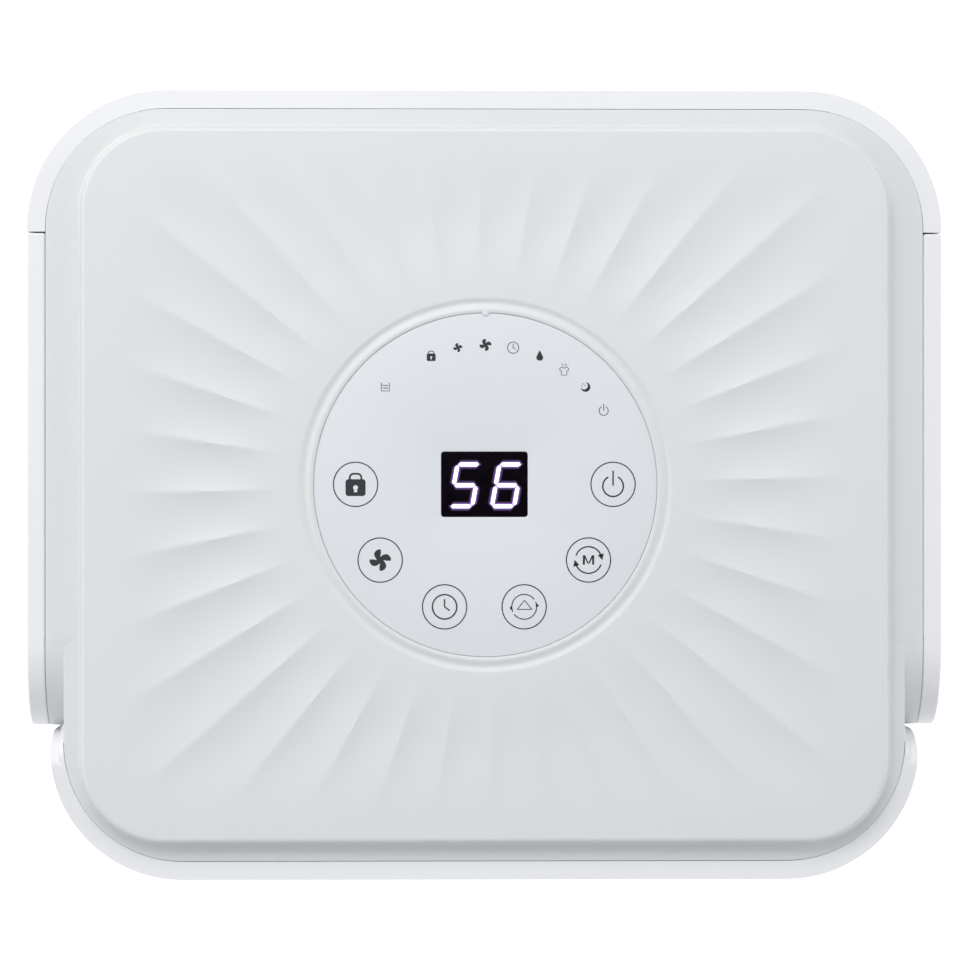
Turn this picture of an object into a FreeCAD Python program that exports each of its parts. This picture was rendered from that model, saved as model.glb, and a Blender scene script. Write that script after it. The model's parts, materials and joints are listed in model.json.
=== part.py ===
"""Compact compressor dehumidifier: a casing of separate shells round a tank, a cooling circuit and a fan.

Millimetres. The origin is the middle of the footprint on the floor, +Z is up and -Y is the front.
Each sub-part is one labelled object, and is written to parts/LABEL.step.
"""

import FreeCAD
import Part
import Sketcher

import math
import operator
import os

V = FreeCAD.Vector
doc = FreeCAD.newDocument("dehumidifier")
sheet = doc.addObject("Spreadsheet::Sheet", "sizes")
rows = []
nodes = {}


# ---------------------------------------------------------------------------------------------
# Sizes: a number together with the spreadsheet formula that gives it
# ---------------------------------------------------------------------------------------------

SIGNS = {"+": operator.add, "-": operator.sub, "*": operator.mul, "/": operator.truediv}


def number(value):
    """The plain number of a Size or of a number."""
    return value.number if isinstance(value, Size) else float(value)


def formula(value):
    """The spreadsheet formula of a Size, or a bracketed number."""
    return value.formula if isinstance(value, Size) else f"({float(value)})"


def mix(first, sign, second):
    """Two values joined by one arithmetic sign, as a Size."""
    worked_out = SIGNS[sign](number(first), number(second))
    return Size(worked_out, f"({formula(first)} {sign} {formula(second)})")


class Size:
    """A length that keeps its number and its formula side by side."""

    def __init__(self, worked_out, text):
        self.number = worked_out
        self.formula = text

    def __add__(self, other):
        return mix(self, "+", other)

    def __radd__(self, other):
        return mix(other, "+", self)

    def __sub__(self, other):
        return mix(self, "-", other)

    def __rsub__(self, other):
        return mix(other, "-", self)

    def __mul__(self, other):
        return mix(self, "*", other)

    def __rmul__(self, other):
        return mix(other, "*", self)

    def __truediv__(self, other):
        return mix(self, "/", other)

    def __neg__(self):
        return mix(0, "-", self)


def size(alias, value):
    """A driving dimension: one row of the sheet."""
    rows.append(alias)
    sheet.set(f"A{len(rows)}", alias)
    sheet.set(f"B{len(rows)}", str(value))
    sheet.setAlias(f"B{len(rows)}", alias)
    return Size(float(value), f"sizes.{alias}")


def bind(thing, name, value):
    """Sets a property, and ties it to the sheet when the value is a Size."""
    if isinstance(value, Size):
        thing.setExpression(name, value.formula)
    else:
        setattr(thing, name, value)


def place(thing, corner, rotation=None):
    """Puts an object's own origin at a point, turned by a rotation."""
    thing.Placement = FreeCAD.Placement(V(*[number(c) for c in corner]), rotation or FreeCAD.Rotation())
    for letter, value in zip("xyz", corner):
        if isinstance(value, Size):
            thing.setExpression(f"Placement.Base.{letter}", value.formula)


# ---------------------------------------------------------------------------------------------
# Outlines: each returns a function that draws one closed, fully constrained loop in a sketch
# ---------------------------------------------------------------------------------------------


def constrain(sketch, *facts, value=None):
    """Adds one constraint, tied to the sheet when its value is a Size."""
    if value is None:
        sketch.addConstraint(Sketcher.Constraint(*facts))
        return
    index = sketch.addConstraint(Sketcher.Constraint(*facts, number(value)))
    if isinstance(value, Size):
        sketch.setExpression(f"Constraints[{index}]", value.formula)


def corners(*given):
    """Level and upright edges through the corners (x, y) or (x, y, radius)."""

    def draw(sketch):
        spots = [(number(c[0]), number(c[1]), number(c[2]) if len(c) > 2 else 0.0) for c in given]
        count = len(spots)
        ways = []
        for i in range(count):
            here, following = spots[i], spots[(i + 1) % count]
            run = V(following[0] - here[0], following[1] - here[1], 0)
            ways.append(run.normalize())
        lines = []
        for i in range(count):
            here, following = spots[i], spots[(i + 1) % count]
            start = V(here[0], here[1], 0) + ways[i] * here[2]
            end = V(following[0], following[1], 0) - ways[i] * following[2]
            lines.append(sketch.addGeometry(Part.LineSegment(start, end), False))
            if abs(ways[i].y) < 1e-9:
                constrain(sketch, "Horizontal", lines[i])
                constrain(sketch, "DistanceY", -1, 1, lines[i], 1, value=given[i][1])
            else:
                constrain(sketch, "Vertical", lines[i])
                constrain(sketch, "DistanceX", -1, 1, lines[i], 1, value=given[i][0])
        for i in range(count):
            x, y, radius = spots[i]
            arriving, leaving = lines[i - 1], lines[i]
            if radius == 0:
                constrain(sketch, "Coincident", arriving, 2, leaving, 1)
                continue
            entry = V(x, y, 0) - ways[i - 1] * radius
            departure = V(x, y, 0) + ways[i] * radius
            centre = entry + ways[i] * radius
            left_turn = ways[i - 1].x * ways[i].y - ways[i - 1].y * ways[i].x > 0
            first, last = (entry, departure) if left_turn else (departure, entry)
            begin = math.atan2(first.y - centre.y, first.x - centre.x)
            finish = begin + math.pi / 2
            circle = Part.Circle(centre, V(0, 0, 1), radius)
            arc = sketch.addGeometry(Part.ArcOfCircle(circle, begin, finish), False)
            constrain(sketch, "Tangent", arriving, 2, arc, 1 if left_turn else 2)
            constrain(sketch, "Tangent", arc, 2 if left_turn else 1, leaving, 1)
            constrain(sketch, "Radius", arc, value=given[i][2])

    return draw


def rectangle(across, along, radius=None):
    """A rectangle from its two spans, with rounded corners if a radius is given."""
    (a, b), (c, d) = across, along
    end = () if radius is None else (radius,)
    return corners((a, c, *end), (b, c, *end), (b, d, *end), (a, d, *end))


def polygon(*given):
    """Straight edges through points, each held by its two coordinates."""

    def draw(sketch):
        count = len(given)
        spots = [V(number(p[0]), number(p[1]), 0) for p in given]
        lines = [
            sketch.addGeometry(Part.LineSegment(spots[i], spots[(i + 1) % count]), False) for i in range(count)
        ]
        for i in range(count):
            constrain(sketch, "Coincident", lines[i - 1], 2, lines[i], 1)
            constrain(sketch, "DistanceX", -1, 1, lines[i], 1, value=given[i][0])
            constrain(sketch, "DistanceY", -1, 1, lines[i], 1, value=given[i][1])

    return draw


def circle(x, y, radius):
    """A full circle."""

    def draw(sketch):
        ring = sketch.addGeometry(Part.Circle(V(number(x), number(y), 0), V(0, 0, 1), number(radius)), False)
        constrain(sketch, "DistanceX", -1, 1, ring, 3, value=x)
        constrain(sketch, "DistanceY", -1, 1, ring, 3, value=y)
        constrain(sketch, "Radius", ring, value=radius)

    return draw


# ---------------------------------------------------------------------------------------------
# Mouldings: PartDesign bodies, with every pad and pocket given as a span along its axis
# ---------------------------------------------------------------------------------------------

# The sign of each origin plane's normal along its own axis.
NORMALS = {"XY": 1, "XZ": -1, "YZ": 1}


class Moulding:
    """One PartDesign body, built up feature by feature."""

    def __init__(self, label):
        self.body = doc.addObject("PartDesign::Body", label)
        self.body.Label = label
        self.body.AllowCompound = True
        self.latest = None

    def sketch(self, plane, height, outlines):
        """Draws outlines on an origin plane, moved to a height along the plane's axis."""
        drawn = self.body.newObject("Sketcher::SketchObject", f"{self.body.Label}_sketch")
        role = f"{plane}_Plane"
        base = next(f for f in self.body.Origin.OriginFeatures if f.Role == role)
        drawn.AttachmentSupport = [(base, "")]
        drawn.MapMode = "FlatFace"
        offset = height if NORMALS[plane] > 0 else -height
        drawn.AttachmentOffset = FreeCAD.Placement(V(0, 0, number(offset)), FreeCAD.Rotation())
        if isinstance(offset, Size):
            drawn.setExpression("AttachmentOffset.Base.z", offset.formula)
        for outline in outlines:
            outline(drawn)
        return drawn

    def add(self, kind, drawn, name):
        """Adds a feature that works from a sketch, and makes it the body's tip."""
        feature = self.body.newObject(f"PartDesign::{kind}", f"{self.body.Label}_{name}")
        feature.Profile = drawn
        self.body.Tip = feature
        self.latest = feature
        drawn.Visibility = False
        return feature

    def pad(self, plane, span, *outlines):
        """Material between the two ends of a span along the plane's axis."""
        low, high = span
        feature = self.add("Pad", self.sketch(plane, low if NORMALS[plane] > 0 else high, outlines), "pad")
        bind(feature, "Length", high - low)
        return feature

    def pocket(self, plane, span, *outlines):
        """Cuts between the two ends of a span, and stops if nothing was cut."""
        doc.recompute()
        before = self.body.Shape.Volume
        low, high = span
        feature = self.add("Pocket", self.sketch(plane, high if NORMALS[plane] > 0 else low, outlines), "pocket")
        bind(feature, "Length", high - low)
        self.check_cut(before)
        return feature

    def check_cut(self, before):
        """Stops the build if the last feature removed nothing."""
        doc.recompute()
        if self.body.Shape.Volume > before - 1e-3:
            raise RuntimeError(f"{self.latest.Name} cuts nothing")

    def revolve(self, *outlines):
        """Turns outlines, drawn as radius and height, about the body's upright axis."""
        drawn = self.sketch("XZ", 0, outlines)
        feature = self.add("Revolution", drawn, "turned")
        feature.ReferenceAxis = (drawn, ["V_Axis"])
        feature.Angle = 360
        return feature

    def along(self, feature, axis, length, count):
        """Repeats a feature in a row."""
        repeated = self.body.newObject("PartDesign::LinearPattern", f"{self.body.Label}_row")
        repeated.Originals = [feature]
        repeated.Direction = (feature.Profile[0], [axis])
        bind(repeated, "Length", length)
        repeated.Occurrences = count
        self.body.Tip = repeated
        self.latest = repeated
        return repeated

    def around(self, feature, count):
        """Repeats a feature round its sketch's normal."""
        repeated = self.body.newObject("PartDesign::PolarPattern", f"{self.body.Label}_ring")
        repeated.Originals = [feature]
        repeated.Axis = (feature.Profile[0], ["N_Axis"])
        repeated.Angle = 360
        repeated.Occurrences = count
        self.body.Tip = repeated
        self.latest = repeated
        return repeated

    def fillet(self, radius, chosen):
        """Rounds the edges for which chosen(edge) is true."""
        doc.recompute()
        edges = self.latest.Shape.Edges
        names = [f"Edge{i + 1}" for i, edge in enumerate(edges) if chosen(edge)]
        if not names:
            raise RuntimeError(f"{self.body.Label}: no edge to round")
        feature = self.body.newObject("PartDesign::Fillet", f"{self.body.Label}_fillet")
        feature.Base = (self.latest, names)
        bind(feature, "Radius", radius)
        self.body.Tip = feature
        self.latest = feature
        return feature

    def keep(self):
        """Counts the body as a finished sub-part."""
        nodes[self.body.Label] = self.body
        return self.body


# ---------------------------------------------------------------------------------------------
# Part workbench helpers
# ---------------------------------------------------------------------------------------------

TURNS = {
    "X": FreeCAD.Rotation(V(0, 1, 0), 90),
    "Y": FreeCAD.Rotation(V(1, 0, 0), -90),
    "Z": FreeCAD.Rotation(),
}


def block(label, x, y, z):
    """A box from its three spans."""
    made = doc.addObject("Part::Box", label)
    for name, span in zip(("Length", "Width", "Height"), (x, y, z)):
        bind(made, name, span[1] - span[0])
    place(made, (x[0], y[0], z[0]))
    return made


def drum(label, axis, centre, span, radius):
    """A cylinder along an axis; centre gives its other two coordinates in X, Y, Z order."""
    made = doc.addObject("Part::Cylinder", label)
    bind(made, "Radius", radius)
    bind(made, "Height", span[1] - span[0])
    corner = list(centre)
    corner.insert("XYZ".index(axis), span[0])
    place(made, corner, TURNS[axis])
    return made


def fuse(label, *pieces):
    """Several touching shapes as one."""
    made = doc.addObject("Part::MultiFuse", label)
    made.Shapes = list(pieces)
    made.Refine = True
    return made


def cut(label, base, *tools):
    """A shape less one or more tools."""
    made = doc.addObject("Part::Cut", label)
    made.Base = base
    made.Tool = tools[0] if len(tools) == 1 else fuse(f"{label}_tools", *tools)
    return made


def group(label, *pieces):
    """Separate solids kept together in one sub-part."""
    made = doc.addObject("Part::Compound", label)
    made.Links = list(pieces)
    return keep(made, label)


def keep(made, label):
    """Names an object as a finished sub-part."""
    made.Label = label
    nodes[label] = made
    return made


def pipe(label, radius, bend, *points):
    """A round pipe through points, its corners rounded by tangent arcs."""
    spots = [V(*[number(c) for c in p]) for p in points]
    edges = []
    start = spots[0]
    for before, here, after in zip(spots, spots[1:], spots[2:]):
        arriving = (here - before).normalize()
        leaving = (after - here).normalize()
        turn = arriving.getAngle(leaving)
        reach = number(bend) * math.tan(turn / 2)
        entry, departure = here - arriving * reach, here + leaving * reach
        inward = (leaving - arriving).normalize()
        centre = here + inward * (number(bend) / math.cos(turn / 2))
        middle = centre - inward * number(bend)
        edges.append(Part.LineSegment(start, entry).toShape())
        edges.append(Part.Arc(entry, middle, departure).toShape())
        start = departure
    edges.append(Part.LineSegment(start, spots[-1]).toShape())
    ring = Part.Wire([Part.Circle(spots[0], (spots[1] - spots[0]).normalize(), number(radius)).toShape()])
    made = doc.addObject("Part::Feature", label)
    made.Shape = Part.Wire(edges).makePipeShell([ring], True, False)
    return made


def copies(label, source, shifts):
    """One sub-part holding a source shape moved by each shift."""
    doc.recompute()
    made = doc.addObject("Part::Feature", label)
    made.Shape = Part.makeCompound([source.Shape.translated(shift) for shift in shifts])
    return keep(made, label)


# ---------------------------------------------------------------------------------------------
# Driving dimensions
# ---------------------------------------------------------------------------------------------

# Casing outline
body_width = size("body_width", 276)
body_depth = size("body_depth", 238)
body_height = size("body_height", 430)
foot_height = size("foot_height", 8)
foot_radius = size("foot_radius", 13)
shell_wall = size("shell_wall", 3)
rear_corner = size("rear_corner", 42)
front_corner = size("front_corner", 40)
rear_length = size("rear_length", 42.9)
front_length = size("front_length", 44.4)
front_narrowing = size("front_narrowing", 6.9)
side_seam = size("side_seam", 1.2)
seam = size("seam", 0.4)

# Top cover
rim_drop = size("rim_drop", 5.5)
rim_width = size("rim_width", 5.5)
front_rim_width = size("front_rim_width", 4.1)
cover_skirt = size("cover_skirt", 12.5)
scoop_radius = size("scoop_radius", 25)
front_fall = size("front_fall", 24)
front_fall_length = size("front_fall_length", 10.5)
panel_inset = size("panel_inset", 16.6)
panel_end_inset = size("panel_end_inset", 11.7)
panel_corner = size("panel_corner", 25)
panel_edge = size("panel_edge", 1.5)
touch_radius = size("touch_radius", 52.2)
touch_thickness = size("touch_thickness", 2)
touch_ring_width = size("touch_ring_width", 4.3)
touch_ring_depth = size("touch_ring_depth", 0.5)
touch_key_radius = size("touch_key_radius", 1.2)
window_width = size("window_width", 26.3)
window_height = size("window_height", 19.6)
window_corner = size("window_corner", 1)
module_depth = size("module_depth", 12)
board_thickness = size("board_thickness", 1.6)
fit = size("fit", 0.3)

# Levels and partitions
pan_thickness = size("pan_thickness", 4)
tank_zone_height = size("tank_zone_height", 184)
deck_height = size("deck_height", 200)
deck_thickness = size("deck_thickness", 3)
partition = size("partition", 2.5)
bay_width = size("bay_width", 216)
bay_rear = size("bay_rear", 3)

# Water tank
tank_gap = size("tank_gap", 2)
tank_wall = size("tank_wall", 2)
bucket_width = size("bucket_width", 200)
bucket_length = size("bucket_length", 102)
bucket_height = size("bucket_height", 120)
bucket_corner = size("bucket_corner", 14)
bucket_inset = size("bucket_inset", 9)
lid_thickness = size("lid_thickness", 2.5)
inlet_width = size("inlet_width", 36)
inlet_length = size("inlet_length", 16)
grip_width = size("grip_width", 84)
grip_height = size("grip_height", 24)
grip_depth = size("grip_depth", 18)
level_width = size("level_width", 12)
level_height = size("level_height", 85)
bail_reach = size("bail_reach", 40)
bail_radius = size("bail_radius", 4)
bail_pivot_radius = size("bail_pivot_radius", 2.5)
float_pin_radius = size("float_pin_radius", 1.5)
float_reach = size("float_reach", 30)

# Air path
coil_width = size("coil_width", 206)
coil_height = size("coil_height", 170)
coil_depth = size("coil_depth", 16)
tube_radius = size("tube_radius", 4)
tube_pitch = size("tube_pitch", 26)
fin_pitch = size("fin_pitch", 7)
fan_radius = size("fan_radius", 75)
fan_length = size("fan_length", 38)
fan_height = size("fan_height", 300)
shaft_radius = size("shaft_radius", 4)
scroll_wall = size("scroll_wall", 2)
motor_radius = size("motor_radius", 38)
motor_length = size("motor_length", 38)
outlet_height = size("outlet_height", 72)
intake_width = size("intake_width", 184)
intake_height = size("intake_height", 156)
intake_bottom = size("intake_bottom", 240)
filter_depth = size("filter_depth", 11)
slat = size("slat", 2)

# Cooling circuit
compressor_radius = size("compressor_radius", 48)
compressor_height = size("compressor_height", 156)
accumulator_radius = size("accumulator_radius", 18)
accumulator_height = size("accumulator_height", 110)
drier_radius = size("drier_radius", 6)
drier_height = size("drier_height", 48)
capillary_radius = size("capillary_radius", 1)

# Handling, drain and mains
side_grip_width = size("side_grip_width", 90)
side_grip_height = size("side_grip_height", 26)
side_grip_depth = size("side_grip_depth", 14)
grip_drop = size("grip_drop", 16)
grip_bezel = size("grip_bezel", 5)
grip_wall = size("grip_wall", 2)
spigot_radius = size("spigot_radius", 6)
spigot_bore = size("spigot_bore", 4)
spigot_gap = size("spigot_gap", 0.6)
drain_height = size("drain_height", 214)
drain_side = size("drain_side", 72)
drain_cup_radius = size("drain_cup_radius", 18)
drain_cup_depth = size("drain_cup_depth", 12)
compressor_side = size("compressor_side", 10)
compressor_back = size("compressor_back", 62)
compressor_lift = size("compressor_lift", 10)
foot_plate = size("foot_plate", 3)
mount_radius = size("mount_radius", 8)
bolt_head_radius = size("bolt_head_radius", 5)
bolt_head_height = size("bolt_head_height", 4)
accumulator_side = size("accumulator_side", 66)
accumulator_back = size("accumulator_back", 66)
accumulator_lift = size("accumulator_lift", 48)
pipe_radius = size("pipe_radius", 3)
pipe_bend = size("pipe_bend", 5)
pipe_entry = size("pipe_entry", 2)
pipe_reach = size("pipe_reach", 12)
frame_thickness = size("frame_thickness", 1.5)
frame_drop = size("frame_drop", 14.5)
fin_thickness = size("fin_thickness", 0.4)
blade_depth = size("blade_depth", 12)
wheel_plate = size("wheel_plate", 2)
hub_radius = size("hub_radius", 10)
hub_height = size("hub_height", 12)
wheel_ring_width = size("wheel_ring_width", 5)
wheel_ring_depth = size("wheel_ring_depth", 3)
motor_flange_width = size("motor_flange_width", 12)
motor_flange_depth = size("motor_flange_depth", 3)
nut_height = size("nut_height", 5)
louvre_frame = size("louvre_frame", 3)
cassette_frame = size("cassette_frame", 6)
cassette_corner = size("cassette_corner", 3)
box_half = size("box_half", 60)
box_height = size("box_height", 110)
box_depth = size("box_depth", 28)
box_wall = size("box_wall", 2)
box_lift = size("box_lift", 23)
capacitor_radius = size("capacitor_radius", 17.5)
capacitor_height = size("capacitor_height", 60)
capacitor_side = size("capacitor_side", 88)
sensor_depth = size("sensor_depth", 8)
sensor_size = size("sensor_size", 18)
gland_flange_width = size("gland_flange_width", 3)
gland_length = size("gland_length", 14)
gland_radius = size("gland_radius", 8)
gland_bore = size("gland_bore", 3.6)
gland_side = size("gland_side", 60)
gland_height = size("gland_height", 40)
screw_radius = size("screw_radius", 2)
screw_head_radius = size("screw_head_radius", 3.6)
screw_head_height = size("screw_head_height", 2.4)
screw_side = size("screw_side", 109)

doc.recompute()

# Places that several sub-parts share
side = body_width / 2
rear = body_depth / 2
front = -rear
rim_top = body_height - rim_drop
part_line = rear - rear_length
front_line = front + front_length
wing_end = front_line + side_seam
front_side = side - front_narrowing
cover_side = side - rim_width
cover_rear = rear - rim_width
cover_front_side = front_side - front_rim_width
cover_front = front + rim_width
cover_corner = rear_corner - rim_width
cover_front_corner = front_corner - front_rim_width
pan_top = foot_height + pan_thickness
tank_bottom = pan_top + tank_gap
tank_top = foot_height + tank_zone_height - tank_gap
upper_bottom = foot_height + tank_zone_height
deck_top = deck_height + deck_thickness
bulkhead_front = wing_end + 1.4
bulkhead_back = bulkhead_front + partition
bucket_front = front + bucket_inset
bucket_back = bucket_front + bucket_length
bucket_top = tank_bottom + bucket_height
lid_top = bucket_top + lid_thickness
bay_back = -bay_rear
bay_side = bay_width / 2
inlet_middle = bucket_back - 12
coil_side = coil_width / 2
scroll_front = part_line - 72.1
scroll_back = scroll_front + 51
shroud_back = scroll_back + 2
flange_back = shroud_back + 49
screw_seat = flange_back + 7
coil_bottom = deck_top + 23
condenser_y = shroud_back + 14
evaporator_y = condenser_y + 21
tray_top = deck_top + 19
tray_floor = deck_top + 5
tray_front = shroud_back + 1
tray_back = flange_back - 2
outlet_bottom = fan_height - outlet_height - 4
fan_front = scroll_front + 6
grip_bottom = rim_top - grip_drop - side_grip_height
grip_middle = scroll_front + 6
board_top = body_height - touch_thickness - module_depth


def both(value):
    """A span centred on zero."""
    return (-value, value)


# ---------------------------------------------------------------------------------------------
# Casing
# ---------------------------------------------------------------------------------------------


def front_outline(x, y, radius, back):
    """The front section's outline: straight sides, two round front corners."""
    return corners((-x, y, radius), (x, y, radius), (x, back), (-x, back))


def feet():
    """Four turned rubber feet under the base pan."""
    x, y = side - 34, rear - 35
    made = []
    for name, place_x, place_y in (("a", -x, -y), ("b", x, -y), ("c", -x, y), ("d", x, y)):
        made.append(drum(f"foot_{name}", "Z", (place_x, place_y), (0, foot_height), foot_radius))
    group("rubber_feet", *made)


def base_pan():
    """The floor of the casing, with runners for the tank and two rear screw lugs."""
    pan = Moulding("base_pan")
    inner, inner_front = side - shell_wall - seam, front_side - shell_wall - seam
    outline = corners(
        (-inner_front, front + shell_wall, front_corner - shell_wall),
        (inner_front, front + shell_wall, front_corner - shell_wall),
        (inner_front, front_line),
        (inner, front_line),
        (inner, rear - shell_wall - seam, rear_corner - shell_wall),
        (-inner, rear - shell_wall - seam, rear_corner - shell_wall),
        (-inner, front_line),
        (-inner_front, front_line),
    )
    pan.pad("XY", (foot_height, pan_top), outline)
    runner = bucket_width / 2 - 20
    for x in (-runner, runner):
        pan.pad("XY", (pan_top, tank_bottom - fit), rectangle((x - 2, x + 2), (front + 20, bay_back - 2)))
    for x in (-screw_side, screw_side):
        lug = rectangle((x - 6, x + 6), (pan_top, pan_top + 20))
        pan.pad("XZ", (flange_back - 1.5, flange_back), lug)
        pan.pocket("XZ", (flange_back - 1.5, flange_back), circle(x, pan_top + 12, screw_radius + 0.2))
    pan.keep()


def rear_housing():
    """The rear shell: a deep tray with a cassette collar, screw bosses, drain cup and mains gland seat."""
    shell = Moulding("rear_housing")
    edge = part_line + seam / 2
    outline = corners((-side, edge), (side, edge), (side, rear, rear_corner), (-side, rear, rear_corner))
    shell.pad("XY", (foot_height, rim_top), outline)
    inner, inner_rear, inner_corner = side - shell_wall, rear - shell_wall, rear_corner - shell_wall
    start = part_line - 1
    hollow = corners(
        (-inner, start), (inner, start), (inner, inner_rear, inner_corner), (-inner, inner_rear, inner_corner)
    )
    shell.pocket("XY", (foot_height, rim_top - shell_wall), hollow)
    opening = corners(
        (-cover_side, start),
        (cover_side, start),
        (cover_side, cover_rear, cover_corner),
        (-cover_side, cover_rear, cover_corner),
    )
    shell.pocket("XY", (rim_top - shell_wall, rim_top), opening)
    cassette_collar(shell)
    drain_cup(shell)
    gland_seat(shell)
    for x in (-screw_side, screw_side):
        for z in (pan_top + 12, rim_top - 20.5):
            shell.pad("XZ", (flange_back, rear - 7), circle(x, z, screw_head_radius + 2.6))
            shell.pocket("XZ", (screw_seat, rear), circle(x, z, screw_head_radius + 0.4))
            shell.pocket("XZ", (flange_back, screw_seat), circle(x, z, screw_radius + 0.2))
    shell.keep()


def cassette_collar(shell):
    """The tunnel and inner ledge that hold the intake cassette."""
    half, low, high = intake_width / 2, intake_bottom, intake_bottom + intake_height
    ledge = rear - filter_depth
    shell.pad("XZ", (ledge - 2, rear - 1), rectangle((-half - 3, half + 3), (low - 3, high + 3)))
    shell.pocket("XZ", (ledge, rear), rectangle(both(half), (low, high)))
    shell.pocket("XZ", (ledge - 2, ledge), rectangle((-half + 4, half - 4), (low + 4, high - 4)))


def drain_cup(shell):
    """The round recess that the drain spigot stands in."""
    floor = rear - drain_cup_depth
    shell.pad("XZ", (floor - 2, rear - 1), circle(-drain_side, drain_height, drain_cup_radius + 2))
    shell.pocket("XZ", (floor, rear), circle(-drain_side, drain_height, drain_cup_radius))
    shell.pocket("XZ", (floor - 2, floor), circle(-drain_side, drain_height, spigot_radius + spigot_gap))


def gland_seat(shell):
    """The boss and recess for the mains lead's bush."""
    shell.pad("XZ", (rear - 9, rear - 1), circle(gland_side, gland_height, gland_radius + 6))
    shell.pocket("XZ", (rear - 2, rear), circle(gland_side, gland_height, gland_radius + gland_flange_width + fit))
    shell.pocket("XZ", (rear - 9, rear - 2), circle(gland_side, gland_height, gland_radius + 0.05))


def side_panel(label, sign):
    """One side wall: its top lip curves down at the front end, and it is cut for a hand grip."""
    panel = Moulding(label)
    low, high = foot_height, rim_top
    back = part_line - seam / 2

    def across(first, last):
        """A span of distances from the middle, on this panel's side."""
        return (first, last) if sign > 0 else (-last, -first)

    wing = corners((wing_end, low), (back, low), (back, high), (wing_end, high, scoop_radius))
    panel.pad("YZ", across(side - shell_wall, side), wing)
    fall_end = high - scoop_radius - 1
    lip = corners(
        (wing_end, fall_end),
        (wing_end + shell_wall, fall_end),
        (wing_end + shell_wall, high - shell_wall, scoop_radius - shell_wall),
        (back, high - shell_wall),
        (back, high),
        (wing_end, high, scoop_radius),
    )
    panel.pad("YZ", across(cover_side, side - shell_wall), lip)
    panel.pocket("YZ", across(side - shell_wall, side), grip_outline(grip_bezel))
    if sign > 0:
        mouth = rectangle((scroll_front, scroll_back - 1), (outlet_bottom, outlet_bottom + outlet_height))
        panel.pocket("YZ", across(side - shell_wall, side), mouth)
    panel.keep()


def grip_outline(grow):
    """The hand grip's outline, grown outwards."""
    half = side_grip_width / 2 + grow
    return rectangle(
        (grip_middle - half, grip_middle + half),
        (grip_bottom - grow, grip_bottom + side_grip_height + grow),
        side_grip_height / 2 - 1 + grow,
    )


def grip_cup(label, sign):
    """The closed cup of a hand grip, with a bezel that stands flush in the side panel."""
    cup = Moulding(label)
    outer_face, floor = side - shell_wall, side - side_grip_depth - grip_wall

    def across(first, last):
        """A span of distances from the middle, on this cup's side."""
        return (first, last) if sign > 0 else (-last, -first)

    cup.pad("YZ", across(floor, outer_face), grip_outline(grip_wall))
    cup.pad("YZ", across(outer_face, side), grip_outline(grip_bezel - fit))
    cup.pocket("YZ", across(floor + grip_wall, side), grip_outline(0))
    cup.keep()


def front_panel():
    """The upper front shell: round corners, a floor over the tank, and ribs to the bulkhead."""
    shell = Moulding("front_panel")
    shell.pad("XY", (upper_bottom, rim_top), front_outline(front_side, front, front_corner, front_line))
    inner, inner_corner = front_side - shell_wall, front_corner - shell_wall
    shell.pocket(
        "XY",
        (upper_bottom + shell_wall, rim_top - shell_wall),
        front_outline(inner, front + shell_wall, inner_corner, front_line + 1),
    )
    shell.pocket(
        "XY",
        (rim_top - shell_wall, rim_top),
        front_outline(cover_front_side, cover_front, cover_front_corner, front_line + 1),
    )
    for x in (-inner + 4, inner - 4):
        rib = rectangle((x - 4.5, x + 4.5), (front_line - 2, bulkhead_front))
        shell.pad("XY", (upper_bottom + 38, rim_top - front_fall - 4), rib)
    for x in ((-front_side, -cover_front_side), (cover_front_side, front_side)):
        shell.pocket("YZ", x, fall_outline())
    shell.keep()


FALL_STEPS = 12


def fall_outline():
    """What is cut off above the front shell's rear top corner, which falls away as a quarter ellipse."""
    points = []
    for step in range(FALL_STEPS + 1):
        angle = math.pi / 2 * step / FALL_STEPS
        y = front_line - front_fall_length + front_fall_length * math.sin(angle)
        points.append((y, rim_top - front_fall + front_fall * math.cos(angle)))
    return polygon(*points, (front_line + 1, rim_top - front_fall), (front_line + 1, rim_top))


def cover_outline(side_x, front_x, y_front, y_rear, corner_rear, corner_front):
    """The cover's outline: wide behind the scoops and narrower in front of them."""
    step = wing_end + scoop_radius
    return corners(
        (-front_x, y_front, corner_front),
        (front_x, y_front, corner_front),
        (front_x, step),
        (side_x, step),
        (side_x, y_rear, corner_rear),
        (-side_x, y_rear, corner_rear),
        (-side_x, step),
        (-front_x, step),
    )


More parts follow.
